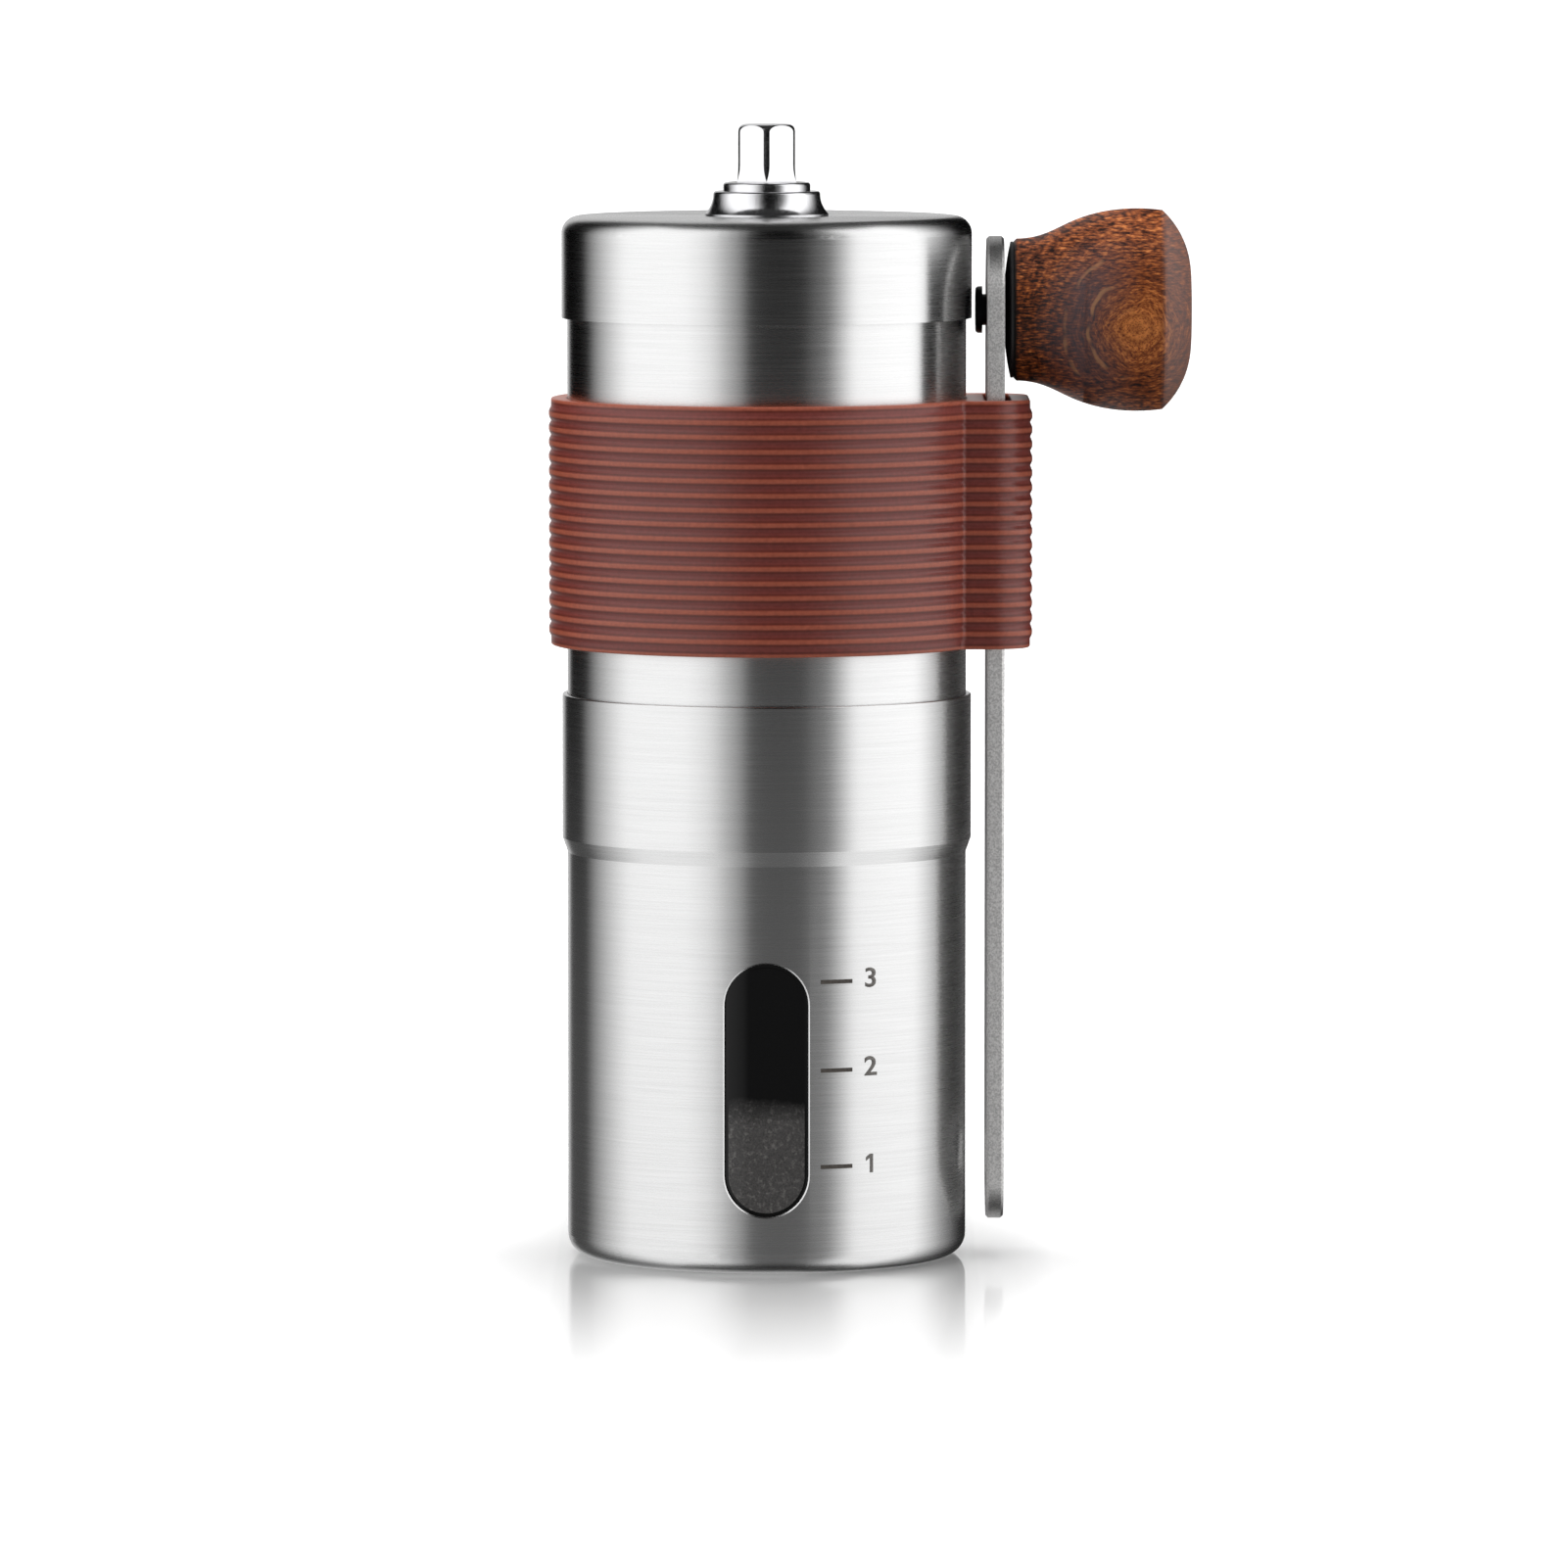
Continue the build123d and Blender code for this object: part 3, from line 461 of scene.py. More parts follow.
# a dark sheet that mirrors the room, dulled by pale dust in its lower part
smoked, tree, shader = start_finish("acrylic_smoked")
place = add(tree, "ShaderNodeTexCoord").outputs["Object"]
height = add(tree, "ShaderNodeSeparateXYZ", {0: place}).outputs["Z"]
drift = add(tree, "ShaderNodeTexNoise", {"Vector": place, "Scale": 1 / DRIFT_SIZE, "Detail": 2.0})
settled = add(
    tree,
    "ShaderNodeMath",
    {0: drift.outputs["Fac"], 1: DRIFT_RISE, 2: height},
    operation="MULTIPLY_ADD",
)
low = add(
    tree,
    "ShaderNodeMapRange",
    {
        "Value": settled.outputs[0],
        "From Min": pane_low.z + DUST_EDGE[0],
        "From Max": pane_low.z + DUST_EDGE[1],
    },
)
flat = add(tree, "ShaderNodeVectorMath", {0: place, 1: (1, 1, 0)}, operation="MULTIPLY")
radius = add(tree, "ShaderNodeVectorMath", {0: flat.outputs["Vector"]}, operation="LENGTH")
boss = add(
    tree,
    "ShaderNodeMapRange",
    {
        "Value": radius.outputs["Value"],
        "From Min": -pane_low.y - BOSS_FACE[0],
        "From Max": -pane_low.y - BOSS_FACE[1],
    },
)
level = add(tree, "ShaderNodeMath", {0: low.outputs[0], 1: boss.outputs[0]}, operation="MULTIPLY")
specks = add(
    tree,
    "ShaderNodeTexNoise",
    {"Vector": place, "Scale": 1 / DUST_GRAIN, "Detail": 4.0, "Roughness": 0.7},
)
dust = add(
    tree,
    "ShaderNodeMapRange",
    {"Value": specks.outputs["Fac"], "From Min": 0.35, "From Max": 0.65, "To Min": 0.5},
)
cling = add(tree, "ShaderNodeMath", {0: level.outputs[0], 1: dust.outputs[0]}, operation="MULTIPLY")
tint = add(
    tree,
    "ShaderNodeMix",
    {0: cling.outputs[0], 6: linear("#050506"), 7: linear("#706e6d")},
    data_type="RGBA",
)
crumbs = add(
    tree,
    "ShaderNodeTexNoise",
    {"Vector": place, "Scale": 1 / CRUMB_GRAIN, "Detail": 2.0, "Roughness": 0.7},
)
shown = add(
    tree,
    "ShaderNodeMapRange",
    {"Value": crumbs.outputs["Fac"], "From Min": 0.54, "From Max": 0.72, "To Max": 0.4},
)
stuck = add(tree, "ShaderNodeMath", {0: shown.outputs[0], 1: level.outputs[0]}, operation="MULTIPLY")
speckled = add(
    tree, "ShaderNodeMix", {0: stuck.outputs[0], 6: tint.outputs[2], 7: linear("#bdb9b5")}, data_type="RGBA"
)
tree.links.new(speckled.outputs[2], shader.inputs["Base Color"])
shader.inputs["Roughness"].default_value = 0.06
shader.inputs["IOR"].default_value = 1.44
shader.inputs["Transmission Weight"].default_value = 0.2
print(smoked.name, "pane from", in_mm(pane_low), "to", in_mm(pane_high))

# %% Ceramic and nylon
SPECK_SIZE = 0.6 * MM
MOULD_GRAIN = 0.4 * MM
MOULD_DEPTH = 0.03 * MM

# pale and matt, with a faint speckle
ceramic, tree, shader = start_finish("ceramic_fired")
place = add(tree, "ShaderNodeTexCoord").outputs["Object"]
speck = add(tree, "ShaderNodeTexNoise", {"Vector": place, "Scale": 1 / SPECK_SIZE, "Detail": 3.0})
tone = add(tree, "ShaderNodeValToRGB", {"Fac": speck.outputs["Fac"]})
tone.color_ramp.elements[0].position = 0.35
tone.color_ramp.elements[0].color = linear("#d8d2c4")
tone.color_ramp.elements[1].position = 0.6
tone.color_ramp.elements[1].color = linear("#ece7db")
tree.links.new(tone.outputs["Color"], shader.inputs["Base Color"])
shader.inputs["Roughness"].default_value = 0.48


def nylon(name, dark, light):
    """Moulded nylon: one colour with the fine matt grain of a spark eroded mould."""
    material, tree, shader = start_finish(name)
    place = add(tree, "ShaderNodeTexCoord").outputs["Object"]
    grain = add(tree, "ShaderNodeTexNoise", {"Vector": place, "Scale": 1 / MOULD_GRAIN, "Detail": 3.0})
    tone = add(tree, "ShaderNodeValToRGB", {"Fac": grain.outputs["Fac"]})
    tone.color_ramp.elements[0].color = linear(dark)
    tone.color_ramp.elements[1].color = linear(light)
    mould = add(
        tree,
        "ShaderNodeBump",
        {"Height": grain.outputs["Fac"], "Strength": 0.2, "Distance": MOULD_DEPTH},
    )
    tree.links.new(tone.outputs["Color"], shader.inputs["Base Color"])
    tree.links.new(mould.outputs["Normal"], shader.inputs["Normal"])
    shader.inputs["Roughness"].default_value = 0.5
    shader.inputs["IOR"].default_value = 1.53
    return material


# both are plain and matt, one nearly black and one the pale cream of undyed nylon
black_nylon = nylon("nylon_black_moulded", "#0c0c0d", "#1d1d1f")
pale_nylon = nylon("nylon_natural_moulded", "#c9c4b8", "#e2ded4")
print(ceramic.name, black_nylon.name, pale_nylon.name)

# %% [markdown]
# ## Silicone and ink
# The sleeve is silicone, moulded against a finely blasted tool, so it is satin: flat grooves catch light
# from the side. The crests of the ribs are painted paler as a painted highlight, and their flanks darker
# as painted shade. Paler crests could be painted by hand, but the ribs are evenly spaced, so the height
# within one rib is enough to find them. The scale on the cup is pad printed in a matt ink that isn't
# quite even.

# %% Silicone of the sleeve
RIB_PITCH = 1.66 * MM
END_BAND = 0.95 * MM
SKIN_GRAIN = 0.5 * MM
BLAST_DEPTH = 0.05 * MM
first_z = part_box("grip_sleeve")[0].z + END_BAND

# a satin brick brown, darker in the grooves, with painted shade on the rib flanks and a painted highlight on
# the crests
silicone, tree, shader = start_finish("silicone_moulded")
place = add(tree, "ShaderNodeTexCoord").outputs["Object"]
skin = add(
    tree,
    "ShaderNodeTexNoise",
    {"Vector": place, "Scale": 1 / SKIN_GRAIN, "Detail": 3.0, "Roughness": 0.6},
)
height = add(tree, "ShaderNodeSeparateXYZ", {0: place}).outputs["Z"]
lifted = add(tree, "ShaderNodeMath", {0: height, 1: -first_z}, operation="ADD")
pitches = add(tree, "ShaderNodeMath", {0: lifted.outputs[0], 1: 2 / RIB_PITCH}, operation="MULTIPLY")
rib = add(tree, "ShaderNodeMath", {0: pitches.outputs[0], 1: 1.0}, operation="PINGPONG").outputs[0]
# painted highlight on the crests and painted shade on the flanks, found by the height within one rib
tone = add(tree, "ShaderNodeValToRGB", {"Fac": rib})
tone.color_ramp.elements[0].position = 0.28
tone.color_ramp.elements[0].color = linear("#863f38")
tone.color_ramp.elements[1].position = 0.8
tone.color_ramp.elements[1].color = linear("#b45e47")
tone.color_ramp.elements.new(0.46).color = linear("#6c2e24")
tone.color_ramp.elements.new(0.58).color = linear("#702f25")
mottle = add(tree, "ShaderNodeMapRange", {"Value": skin.outputs["Fac"], "To Min": 0.7, "To Max": 1.3})
mottled = add(
    tree, "ShaderNodeVectorMath", {0: tone.outputs["Color"], 3: mottle.outputs[0]}, operation="SCALE"
)
blast = add(
    tree,
    "ShaderNodeBump",
    {"Height": skin.outputs["Fac"], "Strength": 0.25, "Distance": BLAST_DEPTH},
)
matt = add(tree, "ShaderNodeMapRange", {"Value": skin.outputs["Fac"], "To Min": 0.26, "To Max": 0.38})
tree.links.new(mottled.outputs["Vector"], shader.inputs["Base Color"])
tree.links.new(blast.outputs["Normal"], shader.inputs["Normal"])
tree.links.new(matt.outputs[0], shader.inputs["Roughness"])
shader.inputs["IOR"].default_value = 1.46
print(silicone.name, "first rib at", round(first_z / MM, 2), "mm")

# %% Printing ink
PRINT_GRAIN = 0.3 * MM

# dark, matt lines, and figures where the film is thinner and paler
ink, tree, shader = start_finish("ink_pad_printed")
place = add(tree, "ShaderNodeTexCoord").outputs["Object"]
screen = add(tree, "ShaderNodeTexNoise", {"Vector": place, "Scale": 1 / PRINT_GRAIN, "Detail": 2.0})
tone = add(tree, "ShaderNodeValToRGB", {"Fac": screen.outputs["Fac"]})
tone.color_ramp.elements[0].color = linear("#3a342f")
tone.color_ramp.elements[1].color = linear("#625b55")
tree.links.new(tone.outputs["Color"], shader.inputs["Base Color"])
shader.inputs["Roughness"].default_value = 0.6
pale_ink = ink.copy()
pale_ink.name = "ink_pad_printed_thin"
tone = next(node for node in pale_ink.node_tree.nodes if node.type == "VALTORGB")
tone.color_ramp.elements[0].color = linear("#6e6a66")
tone.color_ramp.elements[1].color = linear("#8f8b87")
print(ink.name, pale_ink.name)

# %% [markdown]
# ## Finishes on the CAD nodes
# Each node of the CAD model keeps its mesh and only swaps its material, so one table is enough.

# %% Finishes on the CAD nodes
FINISHES = {
    brushed: ("cup_shell", "hopper_tube", "lid_shell"),
    polished: ("drive_shaft", "lid_collar", "bearing_bridge", "bridge_screws", "shaft_clip"),
    tumbled: ("crank_arm", "thrust_washer", "spring_washer"),
    blackened: ("knob_pin",),
    walnut: ("wood_knob",),
    smoked: ("cup_window",),
    ceramic: ("inner_burr", "outer_burr"),
    black_nylon: ("burr_core", "adjust_dial", "burr_housing", "knob_washer"),
    pale_nylon: ("bridge_bush", "lid_bush"),
    brass: ("dial_insert", "knob_insert"),
}
for finish, names in FINISHES.items():
    for name in names:
        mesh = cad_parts[name].data
        mesh.materials.clear()
        mesh.materials.append(finish)
bare = set(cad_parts) - {name for names in FINISHES.values() for name in names}
print("nodes left for new pieces:", sorted(bare))

# %% [markdown]
# ## The silicone sleeve
# The sleeve is one moulding: a ring that grips the tube, a loop on its right that the crank arm slides
# into, and sixteen round ribs that run round both. A curve with a bevel could sweep the ribs along the
# outline, but the bore and the pocket would still have to be cut. So the outline is drawn point by
# point, pulled up through one rib, pressed in where the grooves are and then repeated. Bore, pocket
# and end faces close it.

# %% Sleeve: the outline in plan
sleeve_low, sleeve_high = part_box("grip_sleeve")
SLEEVE_R = -sleeve_low.x
LOOP_X = sleeve_high.x
ARM_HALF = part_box("crank_arm")[1].y
POCKET_SIDE_GAP = 0.4 * MM
LOOP_SIDE_WALL = 2.1 * MM
POCKET_HALF = ARM_HALF + POCKET_SIDE_GAP
LOOP_HALF = POCKET_HALF + LOOP_SIDE_WALL
LOOP_CORNER = 5.0 * MM
LOOP_JOIN = 0.35 * MM
RING_STEPS = 112
EDGE_SLACK = 0.01 * MM
join_x = math.sqrt(SLEEVE_R**2 - LOOP_HALF**2)
join_angle = math.atan2(LOOP_HALF, join_x)


def edit_new(add_primitive, **settings):
    """Add a primitive with nothing else selected, put its origin at the frame's and open it for editing."""
    bpy.ops.object.select_all(action="DESELECT")
    add_primitive(**settings)
    bpy.ops.object.transform_apply(location=True, rotation=True, scale=True)
    bpy.ops.object.mode_set(mode="EDIT")
    return bpy.context.object


def pick(piece, kind, test):
    """Select the vertices that pass the test, or the edges whose two ends do, and nothing else."""
    bpy.ops.mesh.select_all(action="DESELECT")
    bpy.ops.mesh.select_mode(type={"vertices": "VERT", "edges": "EDGE"}[kind])
    bpy.ops.object.mode_set(mode="OBJECT")
    points = [vertex.co.copy() for vertex in piece.data.vertices]
    for item in getattr(piece.data, kind):
        ends = [points[item.index]] if kind == "vertices" else [points[i] for i in item.vertices]
        item.select = all(test(point) for point in ends)
    bpy.ops.object.mode_set(mode="EDIT")


def near(value, target, slack=EDGE_SLACK):
    """Whether two lengths are the same, give or take the slack."""
    return abs(value - target) < slack


sleeve = edit_new(bpy.ops.mesh.primitive_plane_add, size=MM, location=(join_x, LOOP_HALF, first_z))
sleeve.name = "grip_sleeve_moulded"
bpy.ops.mesh.merge(type="CENTER")
ring_turn = 2 * math.pi - 2 * join_angle
bpy.ops.mesh.spin(steps=RING_STEPS, angle=-ring_turn, center=(0, 0, first_z), axis=(0, 0, 1))
pick(sleeve, "vertices", lambda p: near(p.x, join_x) and near(p.y, -LOOP_HALF))
bpy.ops.mesh.extrude_region_move(TRANSFORM_OT_translate={"value": (LOOP_X - join_x, 0, 0)})
bpy.ops.mesh.extrude_region_move(TRANSFORM_OT_translate={"value": (0, 2 * LOOP_HALF, 0)})
pick(sleeve, "vertices", lambda p: near(p.y, LOOP_HALF) and p.x > 0)
bpy.ops.mesh.edge_face_add()
pick(sleeve, "vertices", lambda p: near(p.x, LOOP_X))
bpy.ops.mesh.bevel(offset=LOOP_CORNER, segments=10, affect="VERTICES")
pick(sleeve, "vertices", lambda p: near(p.x, join_x) and near(abs(p.y), LOOP_HALF))
bpy.ops.mesh.bevel(offset=LOOP_JOIN, segments=5, affect="VERTICES")
bpy.ops.object.mode_set(mode="OBJECT")
print("outline points:", len(sleeve.data.vertices))

# %% Sleeve: one round rib, then sixteen
RIB_DEPTH = 0.25 * MM
RIB_COUNT = 16
WELD = 0.001 * MM
# height in the pitch, and how deep the wall is there: 1 is the groove's floor and 0 the rib's crest
RIB_ROWS = ((0, 1), (0.07, 0.88), (0.13, 0.65), (0.2, 0.42), (0.27, 0.2), (0.33, 0.07), (0.42, 0), (0.5, 0))
RIB_ROWS += tuple((1 - share, depth) for share, depth in reversed(RIB_ROWS[:-1]))

bpy.ops.object.mode_set(mode="EDIT")
bpy.ops.mesh.select_all(action="SELECT")
for (low, _), (high, _) in zip(RIB_ROWS, RIB_ROWS[1:]):
    bpy.ops.mesh.extrude_region_move(TRANSFORM_OT_translate={"value": (0, 0, (high - low) * RIB_PITCH)})
bpy.ops.mesh.select_all(action="SELECT")
bpy.ops.mesh.normals_make_consistent(inside=False)
bpy.ops.object.mode_set(mode="OBJECT")
depths = sleeve.vertex_groups.new(name="depth")
for share, depth in RIB_ROWS:
    row = [v.index for v in sleeve.data.vertices if near(v.co.z, first_z + share * RIB_PITCH)]
    depths.add(row, depth, "REPLACE")
outward = sum(f.normal.dot(f.center - Vector((0, 0, f.center.z))) for f in sleeve.data.polygons)


def apply_modifier(piece, kind, **settings):
    """Add a modifier with its settings and apply it at once."""
    made = piece.modifiers.new(kind.lower(), kind)
    for name, value in settings.items():
        setattr(made, name, value)
    bpy.context.view_layer.objects.active = piece
    bpy.ops.object.modifier_apply(modifier=made.name)


press = -RIB_DEPTH if outward > 0 else RIB_DEPTH
apply_modifier(sleeve, "DISPLACE", strength=press, mid_level=0.0, vertex_group="depth")
apply_modifier(
    sleeve,
    "ARRAY",
    count=RIB_COUNT,
    use_relative_offset=False,
    use_constant_offset=True,
    constant_offset_displace=(0, 0, RIB_PITCH),
    use_merge_vertices=True,
    merge_threshold=WELD,
)
print("rib faces:", len(sleeve.data.polygons))

# %% Sleeve: end bands, bore, pocket and end faces
SLEEVE_BORE = 23.05 * MM
POCKET_X = (SLEEVE_R, 28.04 * MM)
POCKET_CORNER = 1.2 * MM
last_z = first_z + RIB_COUNT * RIB_PITCH
full_height = (0, 0, sleeve_high.z - sleeve_low.z)
pocket_mid = (sum(POCKET_X) / 2, 0, sleeve_low.z)
pocket_size = (POCKET_X[1] - POCKET_X[0], 2 * POCKET_HALF, 1)


def on_pocket_foot(p):
    """Whether a point lies at the sleeve's foot and within the pocket's plan."""
    between = POCKET_X[0] - EDGE_SLACK < p.x < POCKET_X[1] + EDGE_SLACK
    return near(p.z, sleeve_low.z) and between and abs(p.y) < POCKET_HALF + EDGE_SLACK


bpy.ops.object.mode_set(mode="EDIT")
for edge_z, step in ((first_z, -END_BAND), (last_z, END_BAND)):
    pick(sleeve, "edges", lambda p: near(p.z, edge_z))
    bpy.ops.mesh.extrude_region_move(TRANSFORM_OT_translate={"value": (0, 0, step)})
bpy.ops.mesh.select_all(action="DESELECT")
bpy.ops.mesh.primitive_circle_add(vertices=128, radius=SLEEVE_BORE, location=(0, 0, sleeve_low.z))
bpy.ops.mesh.extrude_region_move(TRANSFORM_OT_translate={"value": full_height})
bpy.ops.mesh.select_all(action="DESELECT")
bpy.ops.mesh.primitive_plane_add(size=1, location=pocket_mid)
bpy.ops.transform.resize(value=pocket_size, center_override=pocket_mid)
bpy.ops.mesh.delete(type="ONLY_FACE")
pick(sleeve, "vertices", lambda p: on_pocket_foot(p) and near(abs(p.y), POCKET_HALF, WELD))
bpy.ops.mesh.bevel(offset=POCKET_CORNER, segments=4, affect="VERTICES")
pick(sleeve, "edges", on_pocket_foot)
bpy.ops.mesh.extrude_region_move(TRANSFORM_OT_translate={"value": full_height})
for end_z in (sleeve_low.z, sleeve_high.z):
    pick(sleeve, "edges", lambda p: near(p.z, end_z))
    bpy.ops.mesh.fill(use_beauty=True)
bpy.ops.mesh.select_all(action="SELECT")
bpy.ops.mesh.remove_doubles(threshold=WELD)
bpy.ops.mesh.normals_make_consistent(inside=False)
bpy.ops.object.mode_set(mode="OBJECT")
print("sleeve faces:", len(sleeve.data.polygons))
print("sleeve box", in_mm(sleeve.bound_box[0]), in_mm(sleeve.bound_box[6]))

# %% Sleeve: soft rims and its place
RIM_ROUND = 0.22 * MM
RIM_SHARP = math.radians(80)
SMOOTH_UNDER = math.radians(40)

bpy.ops.object.mode_set(mode="EDIT")
bpy.ops.mesh.select_mode(type="EDGE")
bpy.ops.mesh.select_all(action="DESELECT")
bpy.ops.mesh.edges_select_sharp(sharpness=RIM_SHARP)
bpy.ops.mesh.bevel(offset=RIM_ROUND, segments=3, affect="EDGES")
bpy.ops.object.mode_set(mode="OBJECT")
bpy.ops.object.shade_smooth_by_angle(angle=SMOOTH_UNDER)
sleeve.data.materials.clear()
sleeve.data.materials.append(silicone)
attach(sleeve, "hopper")
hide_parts("grip_sleeve")
print("sleeve triangles:", sum(len(f.vertices) - 2 for f in sleeve.data.polygons))

# %% [markdown]
# ## The spring
# A short coil spring sits under the bridge and presses the cone onto its dial. A coil could be a curve
# with a round bevel; here a small circle, the wire's section, is carried round the shaft by the
# Screw modifier, which is how a coiling machine feeds it.

# %% The spring
spring_low, spring_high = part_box("burr_spring")
WIRE_R = 0.5 * MM
COIL_R = spring_high.x - WIRE_R
COIL_TURNS = 3.5
STEPS_PER_TURN = 40
WIRE_SMOOTH = math.radians(50)
UPRIGHT = (math.pi / 2, 0, 0)
steps = int(STEPS_PER_TURN * COIL_TURNS)
climb = spring_high.z - spring_low.z - 2 * WIRE_R

spring = edit_new(
    bpy.ops.mesh.primitive_circle_add,
    vertices=16,
    radius=WIRE_R,
    location=(COIL_R, 0, spring_low.z + WIRE_R),
    rotation=UPRIGHT,
)
spring.name = "burr_spring_wound"
bpy.ops.object.mode_set(mode="OBJECT")
apply_modifier(
    spring,
    "SCREW",
    angle=2 * math.pi * COIL_TURNS,
    screw_offset=climb,
    steps=steps,
    render_steps=steps,
    use_merge_vertices=False,
)
bpy.ops.object.mode_set(mode="EDIT")
bpy.ops.mesh.select_all(action="SELECT")
bpy.ops.mesh.fill_holes(sides=0)
bpy.ops.mesh.select_all(action="SELECT")
bpy.ops.mesh.normals_make_consistent(inside=False)
bpy.ops.object.mode_set(mode="OBJECT")
bpy.ops.object.shade_smooth_by_angle(angle=WIRE_SMOOTH)
spring.data.materials.clear()
spring.data.materials.append(wire_steel)
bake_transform(spring)
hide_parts("burr_spring")
print("spring box", in_mm(spring.bound_box[0]), in_mm(spring.bound_box[6]))
print("CAD spring", in_mm(spring_low), in_mm(spring_high))

# %% [markdown]
# ## The printed scale
# Three lines and plain numbers beside the window show how full the cup is. They are pad printed, a film
# of ink that follows the round wall. A decal would need an image, so each mark is a small flat mesh
# that Shrinkwrap lays onto the cup and Solidify gives a film's thickness.

# %% The printed scale
MARK_HEIGHTS = {"3": 33.6 * MM, "2": 23.45 * MM, "1": 12.4 * MM}
MARK_X = (6.2 * MM, 9.8 * MM)
MARK_LINE = 0.46 * MM
DIGIT_X = 11.9 * MM
DIGIT_RISE = 0.2 * MM
DIGIT_HEIGHT = 2.15 * MM
DIGIT_WEIGHT = 0.05 * MM
TYPE_SHARE = 0.7  # a figure is seven tenths of the type size
STEM_WIDTH = 0.34 * MM
STEM_SHIFT = 0.1 * MM
STEM_SHARE = 0.8  # of a one's height; its flag starts above that
ONE_FLAG = (-0.45 * MM, 0, -0.36 * MM)
INK_LIFT = 0.02 * MM
INK_FILM = 0.03 * MM
FRONT_Y = -30 * MM
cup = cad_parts["cup_shell"]


def print_on_cup(mark, name, film):
    """Lay a flat mark that faces the front onto the cup's wall as a film of ink."""
    mark.name = name
    apply_modifier(
        mark,
        "SHRINKWRAP",
        target=cup,
        wrap_method="PROJECT",
        use_project_y=True,
        use_positive_direction=True,
        offset=INK_LIFT,
    )
    apply_modifier(mark, "SOLIDIFY", thickness=INK_FILM, offset=1.0)
    mark.data.materials.clear()
    mark.data.materials.append(film)
    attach(mark, "cup")


def draw_one(spot):
    """The built in type has a bare stroke for a one, so it is drawn: a stem with a flag."""
    above = (1 - STEM_SHARE) * DIGIT_HEIGHT
    stem = edit_new(bpy.ops.mesh.primitive_plane_add, size=1, location=spot, rotation=UPRIGHT)
    bpy.ops.transform.resize(value=(STEM_WIDTH, 1, STEM_SHARE * DIGIT_HEIGHT), center_override=spot)
    bpy.ops.transform.translate(value=(STEM_SHIFT, 0, -above / 2))
    pick(stem, "edges", lambda p: p.z > spot.z)
    bpy.ops.mesh.extrude_region_move(TRANSFORM_OT_translate={"value": (0, 0, above)})
    pick(stem, "edges", lambda p: p.z > spot.z and p.x < spot.x)
    bpy.ops.mesh.extrude_region_move(TRANSFORM_OT_translate={"value": ONE_FLAG})
    bpy.ops.mesh.select_all(action="SELECT")
    bpy.ops.mesh.subdivide(number_cuts=2)
    bpy.ops.object.mode_set(mode="OBJECT")
    return stem


for digit, height in MARK_HEIGHTS.items():
    middle = (sum(MARK_X) / 2, FRONT_Y, height)
    line = edit_new(bpy.ops.mesh.primitive_plane_add, size=1, location=middle, rotation=UPRIGHT)
    bpy.ops.transform.resize(value=(MARK_X[1] - MARK_X[0], 1, MARK_LINE), center_override=middle)
    bpy.ops.mesh.subdivide(number_cuts=7)
    bpy.ops.object.mode_set(mode="OBJECT")
    print_on_cup(line, "scale_line_" + digit, ink)

    spot = Vector((DIGIT_X, FRONT_Y, height + DIGIT_RISE))
    if digit == "1":
        number = draw_one(spot)
    else:
        bpy.ops.object.select_all(action="DESELECT")
        bpy.ops.object.text_add(location=spot, rotation=UPRIGHT)
        number = bpy.context.object
        number.data.body = digit
        number.data.size = DIGIT_HEIGHT / TYPE_SHARE
        number.data.offset = DIGIT_WEIGHT
        number.data.align_x = "CENTER"
        number.data.align_y = "CENTER"
        bpy.ops.object.convert(target="MESH")
        bpy.ops.object.transform_apply(location=True, rotation=True, scale=True)
        number = bpy.context.object
    print_on_cup(number, "scale_number_" + digit, pale_ink)

# %% [markdown]
# ## The studio
# A polished tube has no look of its own: it shows the room. In such a studio tall lights stand left and
# right, and a dark gap between them, where the camera is, draws the dark line down the middle.
# Those lights and gaps are painted on the inside of a tall drum round the grinder, which only shiny
# surfaces see. A dark flag takes the place of the brown knob in the lid's mirror image. The floor is
# pale, and its polish ends a hand's breadth away.

# %% Floor
FLOOR_SIZE = 60.0
POLISH_FADE = (23 * MM, 119 * MM)  # the polish is lost between these distances from the middle
POLISH_SIDE = (24 * MM, 33 * MM)  # and between these to either side
FOOT_SIDE = (22 * MM, 24.5 * MM)  # the paint is a little darker in line with the foot


def start_studio_paint(name):
    """A new material with an empty node tree, for a piece of the studio."""
    material = bpy.data.materials.new(name)
    material.use_nodes = True
    material.node_tree.nodes.clear()
    return material, material.node_tree


bpy.ops.object.select_all(action="DESELECT")
bpy.ops.mesh.primitive_plane_add(size=FLOOR_SIZE, location=(0, 0, 0))
floor = bpy.context.object
floor.name = "studio_floor"
# white paint under a varnish that mirrors the foot and fades out
floor_paint, tree = start_studio_paint("studio_floor_paint")
place = add(tree, "ShaderNodeTexCoord").outputs["Object"]
away = add(tree, "ShaderNodeVectorMath", {0: place}, operation="LENGTH")
fade = add(
    tree,
    "ShaderNodeMapRange",
    {
        "Value": away.outputs["Value"],
        "From Min": POLISH_FADE[0],
        "From Max": POLISH_FADE[1],
        "To Min": 0.58,
        "To Max": 0.0,
    },
)
xyz = add(tree, "ShaderNodeSeparateXYZ", {0: place})
aside = add(tree, "ShaderNodeMath", {0: xyz.outputs["X"]}, operation="ABSOLUTE").outputs[0]
strip = add(
    tree,
    "ShaderNodeMapRange",
    {"Value": aside, "From Min": POLISH_SIDE[0], "From Max": POLISH_SIDE[1], "To Min": 1.0, "To Max": 0.0},
)
polish = add(tree, "ShaderNodeMath", {0: fade.outputs[0], 1: strip.outputs[0]}, operation="MULTIPLY")
